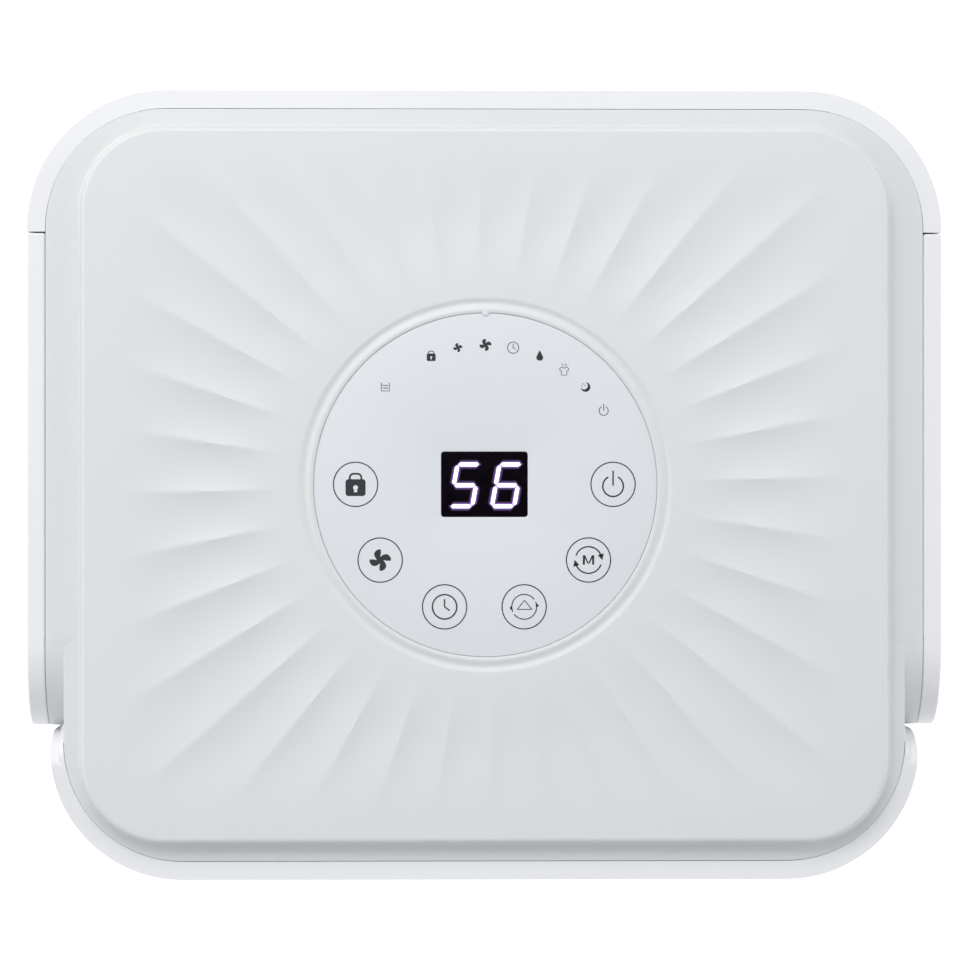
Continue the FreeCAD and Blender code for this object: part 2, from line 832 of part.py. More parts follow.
def top_cover():
    """The lid of the casing: skirt, rim, raised panel, and the seat of the touch panel."""
    cover = Moulding("top_cover")
    outer = cover_side - seam
    outer_front = cover_front_side - seam
    low = rim_top - cover_skirt
    corner, corner_front = cover_corner - seam, cover_front_corner - seam
    y_front, y_rear = cover_front + seam, cover_rear - seam
    cover.pad("XY", (low, rim_top), cover_outline(outer, outer_front, y_front, y_rear, corner, corner_front))
    for span in ((-outer, -outer_front), (outer_front, outer)):
        back = wing_end + scoop_radius + 1
        low_end = rim_top - scoop_radius - 1
        scoop = corners((wing_end, low_end), (back, low_end), (back, rim_top), (wing_end, rim_top, scoop_radius))
        cover.pad("YZ", span, scoop)
    panel_x, panel_y = side - panel_inset, rear - panel_end_inset
    cover.pad("XY", (rim_top, body_height), rectangle(both(panel_x), both(panel_y), panel_corner))
    cover.fillet(panel_edge, lambda edge: edge.BoundBox.ZMin > number(body_height) - 1e-3)
    thick = shell_wall
    cover.pocket(
        "XY",
        (low, rim_top - thick),
        cover_outline(
            outer - thick, outer_front - thick, y_front + thick, y_rear - thick, corner - thick, corner_front - thick
        ),
    )
    under = rectangle(both(panel_x - thick), both(panel_y - thick), panel_corner - thick)
    cover.pocket("XY", (rim_top - thick, body_height - thick), under)
    seat_depth = touch_thickness
    cover.pocket(
        "XY",
        (body_height - touch_ring_depth, body_height),
        circle(0, 0, touch_radius + touch_ring_width),
    )
    cover.pocket(
        "XY", (body_height - seat_depth, body_height), circle(0, 0, touch_radius + fit)
    )
    notch = circle(0, touch_radius, touch_key_radius + fit)
    cover.pocket("XY", (body_height - seat_depth, body_height), notch)
    window = rectangle(
        both(window_width / 2 + fit), both(window_height / 2 + fit), window_corner
    )
    cover.pocket("XY", (body_height - thick, body_height - seat_depth), window)
    for x in (-24, 24):
        cover.pad("XY", (board_top, body_height - thick), circle(x, 0, 3))
    cover.keep()


def touch_panel():
    """The round touch panel, keyed at the rear and open over the display."""
    panel = Moulding("touch_panel")
    low = body_height - touch_thickness
    panel.pad("XY", (low, body_height), circle(0, 0, touch_radius))
    panel.pad("XY", (low, body_height), circle(0, touch_radius, touch_key_radius))
    panel.pocket(
        "XY", (low, body_height), rectangle(both(window_width / 2), both(window_height / 2), window_corner)
    )
    panel.keep()


def touch_board():
    """The electrode board stuck under the cover's skin."""
    board = Moulding("touch_board")
    top = body_height - shell_wall
    board.pad("XY", (top - board_thickness, top), circle(0, 0, touch_radius - 3))
    board.pocket(
        "XY",
        (top - board_thickness, top),
        rectangle(both(window_width / 2 + 1), both(window_height / 2 + 1)),
        circle(-24, 0, 3 + fit),
        circle(24, 0, 3 + fit),
    )
    board.keep()


def display():
    """The two-figure display module and the board that carries it."""
    module = Moulding("display_module")
    face = rectangle(both(window_width / 2 - fit / 2), both(window_height / 2 - fit / 2), window_corner)
    module.pad("XY", (board_top, body_height - 0.2), face)
    module.keep()
    board = Moulding("display_board")
    board.pad("XY", (board_top - board_thickness, board_top), rectangle(both(30), both(24), 3))
    board.keep()


def bulkhead():
    """The upright partition behind the front section, with a portal for the tank."""
    wall = Moulding("bulkhead")
    half = side - shell_wall - seam
    wall.pad("XZ", (bulkhead_front, bulkhead_back), rectangle(both(half), (pan_top, rim_top - cover_skirt)))
    portal = rectangle(both(bay_side), (pan_top - 1, deck_top))
    wall.pocket("XZ", (bulkhead_front, bulkhead_back), portal)
    notch_side, notch_bottom = cover_front_side - 1, rim_top - scoop_radius - 1 - fit
    for x in ((-half - 1, -notch_side), (notch_side, half + 1)):
        wall.pocket("XZ", (bulkhead_front, bulkhead_back), rectangle(x, (notch_bottom, rim_top)))
    wall.keep()


def tank_bay():
    """The liner round the tank: two cheeks and a rear wall."""
    liner = Moulding("tank_bay_liner")
    outer = bay_side + tank_wall
    back = bay_back + partition
    outline = corners(
        (-outer, bulkhead_back),
        (-bay_side, bulkhead_back),
        (-bay_side, bay_back),
        (bay_side, bay_back),
        (bay_side, bulkhead_back),
        (outer, bulkhead_back),
        (outer, back),
        (-outer, back),
    )
    liner.pad("XY", (pan_top, deck_height), outline)
    liner.keep()


def mid_deck():
    """The floor under the coils and fan, cut for the pipes and the drip spout."""
    deck = Moulding("mid_deck")
    half = side - shell_wall - seam
    outline = corners(
        (-half, bulkhead_back),
        (half, bulkhead_back),
        (half, rear - shell_wall - seam, rear_corner - shell_wall),
        (-half, rear - shell_wall - seam, rear_corner - shell_wall),
    )
    deck.pad("XY", (deck_height, deck_top), outline)
    slot = rectangle((-half + 3, -coil_side - 8), (shroud_back - 24, evaporator_y + 10), 4)
    deck.pocket("XY", (deck_height, deck_top), slot)
    deck.pocket("XY", (deck_height, deck_top), circle(0, inlet_middle, spigot_radius + 1))
    notch_half = drain_cup_radius + 2 + seam
    notch = rectangle((-drain_side - notch_half, -drain_side + notch_half), (rear - drain_cup_depth - 2 - seam, rear))
    deck.pocket("XY", (deck_height, deck_top), notch)
    deck.keep()


# ---------------------------------------------------------------------------------------------
# Water tank
# ---------------------------------------------------------------------------------------------


def tank_front():
    """The pull-out front of the tank, with its finger pull and level slot."""
    shell = Moulding("tank_front")
    shell.pad("XY", (tank_bottom, tank_top), front_outline(front_side, front, front_corner, front_line))
    inner = front_outline(front_side - shell_wall, front + shell_wall, front_corner - shell_wall, front_line + 1)
    shell.pocket("XY", (tank_bottom + shell_wall, tank_top - shell_wall), inner)
    under = bucket_width / 2 + fit
    floor = rectangle((-under, under), (bucket_front - fit, front_line + 1))
    shell.pocket("XY", (tank_bottom, tank_bottom + shell_wall), floor)
    half, low = grip_width / 2, tank_top - 8 - grip_height
    cup = rectangle((-half - 2, half + 2), (low - 2, low + grip_height + 2), grip_height / 2)
    shell.pad("XZ", (front + shell_wall - 1, front + grip_depth + 2), cup)
    pull = rectangle(both(half), (low, low + grip_height), grip_height / 2 - 2)
    shell.pocket("XZ", (front, front + grip_depth), pull)
    x, z = level_place()
    slot = rectangle((x - level_width / 2, x + level_width / 2), (z, z + level_height), level_width / 2 - 0.5)
    shell.pocket("XZ", (front, front + shell_wall), slot)
    for x in (-50, 40):
        rib = rectangle((x, x + 4), (tank_bottom + 16, bucket_top - 40))
        shell.pad("XZ", (front + shell_wall - 1, bucket_front), rib)
    shell.keep()


def level_place():
    """The middle and the lower end of the level slot."""
    return bucket_width / 2 - 26, tank_bottom + 22


def level_window():
    """The clear strip in the level slot."""
    window = Moulding("level_window")
    x, z = level_place()
    half = level_width / 2
    slot = rectangle((x - half, x + half), (z, z + level_height), half - 0.5)
    window.pad("XZ", (front + 0.4, front + shell_wall), slot)
    window.keep()


def tank_bucket():
    """The open bucket, with ears for the handle and a bracket for the float."""
    bucket = Moulding("tank_bucket")
    half = bucket_width / 2
    outline = rectangle(both(half), (bucket_front, bucket_back), bucket_corner)
    bucket.pad("XY", (tank_bottom, bucket_top), outline)
    inner = rectangle(
        both(half - tank_wall), (bucket_front + tank_wall, bucket_back - tank_wall), bucket_corner - tank_wall
    )
    bucket.pocket("XY", (tank_bottom + tank_wall, bucket_top), inner)
    y, z = bail_pivot()
    for sign in (-1, 1):
        foot = sorted((sign * (half - 1), sign * (half + 6)), key=number)
        ear = sorted((sign * (half + 3), sign * (half + 6)), key=number)
        bucket.pad("YZ", foot, rectangle((y - 8, y + 8), (bucket_top - 24, bucket_top - 8)))
        bucket.pad("YZ", ear, rectangle((y - 8, y + 8), (bucket_top - 9, z + 7)))
        bucket.pocket("YZ", ear, circle(y, z, bail_pivot_radius + 0.1))
        tab = sorted((sign * 16, sign * 18.5), key=number)
        pin_y, pin_z = float_pivot()
        bucket.pad("YZ", tab, rectangle((pin_y - 4, bucket_back - 1), (pin_z - 5, pin_z + 5)))
        bucket.pocket("YZ", tab, circle(pin_y, pin_z, float_pin_radius + 0.02))
    bucket.keep()


def bail_pivot():
    """Where the tank handle turns: its Y and Z."""
    return bucket_front + 35, lid_top + 4.5


def float_pivot():
    """Where the float arm turns: its Y and Z."""
    return bucket_back - 10, bucket_top - 30


def tank_lid():
    """The lift-off lid, with a skirt and the water inlet."""
    lid = Moulding("tank_lid")
    half, spare = bucket_width / 2 + fit, fit
    skirt = 1.6
    outline = rectangle(
        both(half + skirt), (bucket_front - spare - skirt, bucket_back + spare + skirt), bucket_corner + skirt
    )
    lid.pad("XY", (bucket_top - 6, lid_top), outline)
    inner = rectangle(both(half), (bucket_front - spare, bucket_back + spare), bucket_corner)
    lid.pocket("XY", (bucket_top - 6, bucket_top), inner)
    inlet = rectangle(
        both(inlet_width / 2), (inlet_middle - inlet_length / 2, inlet_middle + inlet_length / 2), 3
    )
    lid.pocket("XY", (bucket_top, lid_top), inlet)
    lid.keep()


def tank_handle():
    """The folding bail: two arms, a round bar and two pivot pins."""
    y, z = bail_pivot()
    half = bucket_width / 2
    outer, inner = half + 1.5, half - 2.5
    pieces = [drum("bail_bar", "X", (y + bail_reach, z), both(outer), bail_radius)]
    for name, sign in (("left", -1), ("right", 1)):
        arm = sorted((sign * inner, sign * outer), key=number)
        pin = sorted((sign * (outer - 1), sign * (half + 5.6)), key=number)
        pieces.append(block(f"bail_arm_{name}", arm, (y, y + bail_reach), (z - 3.5, z + 3.5)))
        pieces.append(drum(f"bail_hub_{name}", "X", (y, z), arm, 3.5))
        pieces.append(drum(f"bail_pin_{name}", "X", (y, z), pin, bail_pivot_radius))
    keep(fuse("bail", *pieces), "tank_handle")


def float_parts():
    """The float, its arm, its pin and the magnet that the sensor board reads."""
    y, z = float_pivot()
    pin_half = 18.4
    keep(drum("float_axle", "X", (y, z), both(pin_half), float_pin_radius), "float_pin")
    hub = drum("float_hub", "X", (y, z), both(12), float_pin_radius + 2.2)
    beam = block("float_beam", both(4), (y - float_reach, y), (z - 3, z + 1))
    bore = drum("float_bore", "X", (y, z), both(13), float_pin_radius + 0.03)
    seat = block("float_seat", both(13), (y - float_reach, y - 6), (z - 4, z - 3))
    keep(cut("float_lever", fuse("float_body", hub, beam, seat), bore), "float_arm")
    foam = Moulding("float_block")
    foam.pad("XY", (z - 20, z - 4), rectangle(both(14), (y - float_reach - 2, y - 6), 4))
    foam.keep()
    magnet_place = (y - 9, y - 4)
    keep(block("float_slug", both(3), magnet_place, (z + 1, z + 4)), "float_magnet")


def tank_sensor():
    """The board on the back of the liner that reads the float and the tank's presence."""
    back = bay_back + partition
    z = bucket_top - 30
    board = block("sensor_card", both(15), (back, back + board_thickness), (z - 12, z + 12))
    keep(board, "tank_sensor_board")


# ---------------------------------------------------------------------------------------------
# Cooling circuit
# ---------------------------------------------------------------------------------------------

MOUNT_SPOTS = ((-38, 12), (58, 12), (-38, 100), (58, 100))


def compressor():
    """The hermetic compressor on its foot plate, with four rubber mounts and bolts."""
    can = Moulding("compressor")
    low = pan_top + compressor_lift
    high = low + compressor_height
    full, shoulder = compressor_radius, compressor_radius - 10
    profile = polygon(
        (0, low), (shoulder, low), (full, low + 10), (full, high - 16), (shoulder, high - 4), (14, high), (0, high)
    )
    can.revolve(profile)
    place(can.body, (compressor_side, compressor_back, 0))
    can.keep()
    plate = Moulding("compressor_plate")
    plate.pad("XY", (low - foot_plate, low), rectangle((-48, 68), (2, 110), 12))
    for x, y in MOUNT_SPOTS:
        plate.pocket("XY", (low - foot_plate, low), circle(x, y, screw_radius + 0.7))
    plate.keep()
    mounts, bolts = [], []
    for index, (x, y) in enumerate(MOUNT_SPOTS):
        rubber = drum(f"mount_{index}", "Z", (x, y), (pan_top, low - foot_plate), mount_radius)
        hole = drum(f"mount_hole_{index}", "Z", (x, y), (pan_top, low - foot_plate), screw_radius + 0.7)
        mounts.append(cut(f"mount_ring_{index}", rubber, hole))
        shank = drum(f"bolt_shank_{index}", "Z", (x, y), (pan_top, low + 1), screw_radius + 0.5)
        head = drum(f"bolt_head_{index}", "Z", (x, y), (low, low + bolt_head_height), bolt_head_radius)
        bolts.append(fuse(f"bolt_{index}", shank, head))
    group("compressor_mounts", *mounts)
    group("compressor_bolts", *bolts)


def accumulator():
    """The suction accumulator beside the compressor."""
    bottle = Moulding("suction_accumulator")
    low = pan_top + accumulator_lift
    high = low + accumulator_height
    full, neck = accumulator_radius, accumulator_radius - 8
    profile = polygon((0, low), (neck, low), (full, low + 8), (full, high - 8), (neck, high), (0, high))
    bottle.revolve(profile)
    place(bottle.body, (-accumulator_side, accumulator_back, 0))
    bottle.keep()


PASSES = 6


def tube_level(index):
    """The height of one pass of a coil."""
    return coil_bottom + 16 + tube_pitch * index


def serpentine(label, y):
    """A coil's tube: six passes joined by round return bends, both ends at the left."""
    reach = number(coil_side) + 1
    radius = number(tube_pitch) / 2
    depth = number(y)
    end = -number(coil_side) - 9
    edges = []
    here = V(end, depth, number(tube_level(0)))
    first = here
    for index in range(PASSES):
        sign = 1 if index % 2 == 0 else -1
        last = index == PASSES - 1
        level = number(tube_level(index))
        there = V(end if last else sign * reach, depth, level)
        edges.append(Part.LineSegment(here, there).toShape())
        if not last:
            outer = V(sign * (reach + radius), depth, level + radius)
            here = V(sign * reach, depth, level + 2 * radius)
            edges.append(Part.Arc(there, outer, here).toShape())
    ring = Part.Wire([Part.Circle(first, V(1, 0, 0), number(tube_radius)).toShape()])
    made = doc.addObject("Part::Feature", label)
    made.Shape = Part.Wire(edges).makePipeShell([ring], True, False)
    keep(made, label)


def coil_fins(label, y):
    """A coil's fins: thin plates at an even pitch, pierced for the passes."""
    half = number(coil_side) - 4
    low, high = coil_bottom, coil_bottom + coil_height
    start = Size(-half, f"({-half})")
    plate = block(f"{label}_plate", (start, start + fin_thickness), (y - coil_depth / 2, y + coil_depth / 2), (low, high))
    holes = [
        drum(f"{label}_hole_{index}", "X", (y, tube_level(index)), (start - 1, start + 2), tube_radius + 0.1)
        for index in range(PASSES)
    ]
    fin = cut(f"{label}_fin", plate, *holes)
    count = int(2 * half / number(fin_pitch)) + 1
    copies(label, fin, [V(number(fin_pitch) * index, 0, 0) for index in range(count)])


def coil_frame(label, sign):
    """The end plate of both coils, flanged at the rear for the casing screws."""
    plate = Moulding(label)

    def across(first, last):
        """A span of distances from the middle, on this plate's side."""
        return (first, last) if sign > 0 else (-last, -first)

    thick = frame_thickness
    high = rim_top - frame_drop
    plate.pad("YZ", across(coil_side, coil_side + thick), rectangle((shroud_back, flange_back), (deck_top, high)))
    flange = rectangle(across(coil_side, screw_side + 6), (deck_top, high))
    plate.pad("XZ", (flange_back - thick, flange_back), flange)
    for y in (condenser_y, evaporator_y):
        for index in range(PASSES):
            hole = circle(y, tube_level(index), tube_radius + 0.2)
            plate.pocket("YZ", across(coil_side, coil_side + thick), hole)
    screw_hole = circle(sign * screw_side, rim_top - 20.5, screw_radius + 0.2)
    plate.pocket("XZ", (flange_back - thick, flange_back), screw_hole)
    plate.keep()


def refrigerant_lines():
    """The pipes between the compressor, the coils, the drier and the accumulator."""
    end = -coil_side - 9
    left = end - pipe_reach
    bottom, top = tube_level(0), tube_level(PASSES - 1)
    under = deck_height - 12
    bend = pipe_bend
    bottle_x, bottle_y = -accumulator_side, accumulator_back
    bottle_low = pan_top + accumulator_lift
    suction = pipe(
        "suction_run", tube_radius, bend,
        (end, evaporator_y, bottom), (left, evaporator_y, bottom), (left, evaporator_y, under),
        (left, bottle_y, under), (bottle_x, bottle_y, under),
        (bottle_x, bottle_y, bottle_low + accumulator_height),
    )
    crown = pan_top + compressor_lift + compressor_height - pipe_entry
    start = compressor_back - 8
    discharge = pipe(
        "discharge_run", pipe_radius, bend,
        (compressor_side, start, crown), (compressor_side, start, under + 2), (end - 6, start, under + 2),
        (end - 6, start, top), (end - 6, condenser_y, top), (end, condenser_y, top),
    )
    drier_y = (condenser_y + evaporator_y) / 2
    liquid = pipe(
        "liquid_run", pipe_radius, bend,
        (end, condenser_y, bottom), (left, condenser_y, bottom), (left, drier_y, bottom),
        (left, drier_y, bottom + 20),
    )
    feed = pipe(
        "feed_run", pipe_radius, bend,
        (bottle_x, bottle_y, bottle_low), (bottle_x, bottle_y, bottle_low - 14),
        (compressor_side - compressor_radius + pipe_entry, bottle_y, bottle_low - 14),
    )
    group("refrigerant_pipes", suction, discharge, liquid, feed)
    drier = Moulding("filter_drier")
    low, neck = bottom + 20, drier_radius - 2
    high = low + drier_height
    profile = polygon(
        (0, low), (neck, low), (drier_radius, low + 5), (drier_radius, high - 5), (neck, high), (0, high)
    )
    drier.revolve(profile)
    place(drier.body, (left, drier_y, 0))
    drier.keep()
    thin = pipe(
        "capillary_run", capillary_radius, bend,
        (left, drier_y, high), (left, drier_y, high + 14), (left, evaporator_y, high + 14),
        (left, evaporator_y, top), (end, evaporator_y, top),
    )
    keep(thin, "capillary_tube")


def drip_tray():
    """The tray under the coils, with its chute, its spout and the drain spigot."""
    tray = Moulding("drip_tray")
    half = coil_side - 1.5
    tray.pad("XY", (deck_top, tray_top), rectangle(both(half), (tray_front, tray_back)))
    tray.pocket("XY", (tray_floor, tray_top), rectangle(both(half - 2), (tray_front + 2, tray_back - 2)))
    chute_top = tray_floor + 8
    tray.pad("XY", (deck_top, chute_top), rectangle(both(14), (inlet_middle - 12, tray_front + 1)))
    tray.pocket("XY", (tray_floor, chute_top), rectangle(both(12), (inlet_middle - 10, tray_front + 2)))
    tray.pad("XY", (deck_height - 8, deck_top), circle(0, inlet_middle, spigot_radius))
    tray.pocket("XY", (deck_height - 8, tray_floor), circle(0, inlet_middle, spigot_bore))
    spigot_end = rear - touch_thickness
    tray.pad("XZ", (tray_back - 1, spigot_end), circle(-drain_side, drain_height, spigot_radius))
    tray.pocket("XZ", (tray_back - 2, spigot_end), circle(-drain_side, drain_height, spigot_bore))
    tray.keep()


def drain_plug():
    """The rubber stopper in the drain spigot."""
    low = rear - touch_thickness
    stem = drum("stopper_stem", "Y", (-drain_side, drain_height), (low - 12, low), spigot_bore - 0.2)
    head = drum("stopper_head", "Y", (-drain_side, drain_height), (low, rear), spigot_radius + 2)
    tab = block(
        "stopper_tab",
        (-drain_side - 3, -drain_side + 3),
        (low, rear),
        (drain_height - spigot_radius - 8, drain_height),
    )
    keep(fuse("stopper", stem, head, tab), "drain_plug")


# ---------------------------------------------------------------------------------------------
# Air path
# ---------------------------------------------------------------------------------------------

BLADES = 36
NUT_RADIUS = 6.5
OUTLET_SLATS = 7
INTAKE_SLATS = 17


def fan_scroll():
    """The volute: a drum round the wheel and a duct to the outlet at the right."""
    scroll = Moulding("fan_scroll")
    span = (scroll_front, scroll_back)
    inside = (scroll_front + scroll_wall, scroll_back - scroll_wall)
    outer = fan_radius + 6
    end = side - shell_wall - fit
    low, high = outlet_bottom, outlet_bottom + outlet_height
    scroll.pad("XZ", span, circle(0, fan_height, outer))
    scroll.pad("XZ", span, rectangle((0, end), (low, high)))
    scroll.pocket("XZ", inside, circle(0, fan_height, outer - scroll_wall))
    scroll.pocket("XZ", inside, rectangle((0, end + 1), (low + scroll_wall, high - scroll_wall)))
    scroll.pocket("XZ", (inside[1], scroll_back), circle(0, fan_height, fan_radius - 16))
    scroll.pocket("XZ", (scroll_front, inside[0]), circle(0, fan_height, motor_radius / 2))
    scroll.keep()


def fan_shroud():
    """The plate that makes all the air cross the coils before the fan."""
    plate = Moulding("fan_shroud")
    span = (scroll_back, shroud_back)
    half = coil_side + frame_thickness
    plate.pad("XZ", span, rectangle(both(half), (deck_top + 13.5, rim_top - frame_drop)))
    plate.pocket("XZ", span, circle(0, fan_height, fan_radius - 16))
    plate.keep()


def fan_wheel():
    """The centrifugal wheel: hub plate, 36 curved-in blades and a rim ring; its own axis is upright."""
    wheel = Moulding("fan_wheel")
    length = fan_length
    outer = fan_radius - 1
    inner = outer - blade_depth
    wheel.pad("XY", (0, wheel_plate), circle(0, 0, outer))
    wheel.pad("XY", (0, hub_height), circle(0, 0, hub_radius))
    blade = polygon((inner, 0), (outer - 0.5, 5), (outer - 0.5, 6.6), (inner, 1.4))
    first = wheel.pad("XY", (wheel_plate - 0.5, length - 1), blade)
    wheel.around(first, BLADES)
    ring = (circle(0, 0, fan_radius), circle(0, 0, fan_radius - wheel_ring_width))
    wheel.pad("XY", (length - wheel_ring_depth, length), *ring)
    wheel.pocket("XY", (0, hub_height), circle(0, 0, shaft_radius + 0.02))
    place(wheel.body, (0, fan_front, fan_height), TURNS["Y"])
    wheel.keep()


def fan_motor():
    """The fan motor with its mounting flange, its shaft and the wheel's nut."""
    motor = Moulding("fan_motor")
    length = motor_length
    flange = (length - motor_flange_depth, length)
    motor.pad("XY", (0, length), circle(0, 0, motor_radius))
    motor.pad("XY", flange, circle(0, 0, motor_radius + motor_flange_width))
    motor.pocket("XY", (0, length), circle(0, 0, shaft_radius + 0.08))
    for x, y in motor_screw_spots():
        motor.pocket("XY", flange, circle(x, y, screw_radius + 0.2))
    place(motor.body, (0, scroll_front - length, fan_height), TURNS["Y"])
    motor.keep()
    shaft = drum("fan_axle", "Y", (0, fan_height), (scroll_front - length - 3, fan_front + 20), shaft_radius)
    keep(shaft, "motor_shaft")
    nut = Moulding("fan_nut")
    turns = [math.radians(angle) for angle in range(0, 360, 60)]
    hexagon = polygon(*[(NUT_RADIUS * math.cos(turn), NUT_RADIUS * math.sin(turn)) for turn in turns])
    nut.pad("XY", (0, nut_height), hexagon)
    nut.pocket("XY", (0, nut_height), circle(0, 0, shaft_radius + 0.02))
    place(nut.body, (0, fan_front + hub_height, fan_height), TURNS["Y"])
    nut.keep()


def motor_screw_spots():
    """Three screws round the motor, in its own plane."""
    reach = number(motor_radius + motor_flange_width / 2)
    return [(reach * math.cos(math.radians(a)), reach * math.sin(math.radians(a))) for a in (90, 210, 330)]


def outlet_grille():
    """The louvred frame of the air outlet in the right side panel."""
    grille = Moulding("outlet_grille")
    back, face = side - shell_wall - fit, side
    y_span = (scroll_front + fit, scroll_back - 1 - fit)
    z_span = (outlet_bottom + fit, outlet_bottom + outlet_height - fit)
    grille.pad("YZ", (back, face), rectangle(y_span, z_span))
    edge = louvre_frame
    hole = rectangle((y_span[0] + edge, y_span[1] - edge), (z_span[0] + edge, z_span[1] - edge))
    grille.pocket("YZ", (back, face), hole)
    pitch = (outlet_height - 2 * fit - 2 * edge) / (OUTLET_SLATS + 1)
    level = z_span[0] + edge + pitch - slat / 2
    bar = rectangle((y_span[0] + edge - 1, y_span[1] - edge + 1), (level, level + slat))
    first = grille.pad("YZ", (back, face - 0.6), bar)
    grille.along(first, "V_Axis", pitch * (OUTLET_SLATS - 1), OUTLET_SLATS)
    grille.keep()


def intake_cassette():
    """The pull-out rear intake: a louvred grille, a carrier frame and the dust mesh."""
    half, low, high = intake_width / 2 - fit, intake_bottom + fit, intake_bottom + intake_height - fit
    inner = rear - filter_depth + 0.2
    middle = inner + 4.8
    grille = Moulding("intake_grille")
    edge = cassette_frame
    grille.pad("XZ", (middle, rear), rectangle(both(half), (low, high), cassette_corner))
    grille.pocket("XZ", (middle, rear), rectangle((-half + edge, half - edge), (low + edge, high - edge)))
    pitch = (intake_height - 2 * fit - 2 * edge) / (INTAKE_SLATS + 1)
    level = low + edge + pitch - slat / 2
    reach = half - edge + 1
    bar = grille.pad("XZ", (middle + 2, rear - 0.6), rectangle(both(reach), (level, level + slat)))
    grille.along(bar, "V_Axis", pitch * (INTAKE_SLATS - 1), INTAKE_SLATS)
    for x in (-half / 2, 0, half / 2):
        rib = rectangle((x - 1.5, x + 1.5), (low + edge - 1, high - edge + 1))
        grille.pad("XZ", (middle, middle + 2.4), rib)
    grille.pad("XZ", (middle + 1, rear - 3), rectangle(both(16), (high - 16, high - edge + 1)))
    grille.keep()
    carrier = Moulding("filter_frame")
    hollow = rectangle(both(half - edge - 1), (low + edge + 1, high - edge - 1))
    carrier.pad("XZ", (inner, middle), rectangle(both(half - 1), (low + 1, high - 1), cassette_corner))
    carrier.pocket("XZ", (inner, middle), hollow)
    for z in (low + intake_height / 3, low + intake_height * 2 / 3):
        carrier.pad("XZ", (inner, inner + 1.6), rectangle(both(half - edge), (z - 1, z + 1)))
    carrier.keep()
    mesh = Moulding("filter_mesh")
    mesh.pad("XZ", (inner + 1.6, inner + 2.4), hollow)
    mesh.keep()


# ---------------------------------------------------------------------------------------------
# Electrics and fasteners
# ---------------------------------------------------------------------------------------------


def electronics():
    """The control box on the bulkhead, its board, the run capacitor and the humidity sensor."""
    low = deck_top + box_lift
    high = low + box_height
    front_face = bulkhead_front - box_depth
    half = box_half
    box = Moulding("control_box")
    box.pad("XZ", (front_face, bulkhead_front), rectangle(both(half), (low, high), 4))
    hollow = rectangle(both(half - box_wall), (low + box_wall, high - box_wall), 2)
    box.pocket("XZ", (front_face + box_wall, bulkhead_front), hollow)
    box.keep()
    board_back = bulkhead_front - 5
    board_front = board_back - board_thickness
    card = block("card", both(half - 4), (board_front, board_back), (low + 5, high - 5))
    relay = block("relay", (-half + 10, -half + 30), (board_front - 15, board_front), (low + 20, low + 36))
    transformer = block("transformer", (half - 46, half - 14), (board_front - 16, board_front), (low + 50, low + 78))
    terminals = block("terminals", both(half - 20), (board_front - 9, board_front), (low + 7, low + 15))
    keep(fuse("main_card", card, relay, transformer, terminals), "main_board")
    x, y = capacitor_side, bulkhead_front - capacitor_radius - 4.5
    keep(drum("capacitor_can", "Z", (x, y), (low, low + capacitor_height), capacitor_radius), "run_capacitor")
    saddle = block("saddle", (x - 9, x + 9), (y + 13, bulkhead_front), (low + 24, low + 36))
    bed = drum("saddle_hollow", "Z", (x, y), (low + 23, low + 37), capacitor_radius + 0.1)
    keep(cut("capacitor_saddle", saddle, bed), "capacitor_clip")
    side_face, near, under = coil_side + frame_thickness, shroud_back + 5, rim_top - 40
    case = block(
        "sensor_case", (side_face, side_face + sensor_depth), (near, near + sensor_size), (under, under + sensor_size)
    )
    keep(case, "humidity_sensor")


def mains_gland():
    """The bush that the mains lead passes."""
    bush = drum("bush_body", "Y", (gland_side, gland_height), (rear - 1 - gland_length, rear - 1), gland_radius)
    flange = drum("bush_flange", "Y", (gland_side, gland_height), (rear - 2, rear - 0.2), gland_radius + gland_flange_width)
    bore = drum("bush_bore", "Y", (gland_side, gland_height), (rear - 2 - gland_length, rear), gland_bore)
    keep(cut("bush", fuse("bush_outer", bush, flange), bore), "cord_gland")


def screw(name, axis, centre, head_low, shank):
    """A pan-head screw: its head starts at head_low, and its shank spans the other way."""
    head = drum(f"{name}_head", axis, centre, (head_low, head_low + screw_head_height), screw_head_radius)
    return fuse(name, head, drum(f"{name}_shank", axis, centre, shank, screw_radius))


def fasteners():
    """The casing screws and the motor screws."""
    rear_screws = [
        screw(f"rear_screw_{index}", "Y", (x, z), screw_seat, (flange_back - 6, screw_seat + 1))
        for index, (x, z) in enumerate(
            (x, z) for x in (-screw_side, screw_side) for z in (pan_top + 12, rim_top - 20.5)
        )
    ]
    group("rear_screws", *rear_screws)
    flange = scroll_front - 3
    head = flange - screw_head_height
    motor_screws = [
        screw(f"motor_screw_{index}", "Y", (x, fan_height - y), head, (head + 1, scroll_front))
        for index, (x, y) in enumerate(motor_screw_spots())
    ]
    group("motor_screws", *motor_screws)


# ---------------------------------------------------------------------------------------------
# Build, check and write
# ---------------------------------------------------------------------------------------------

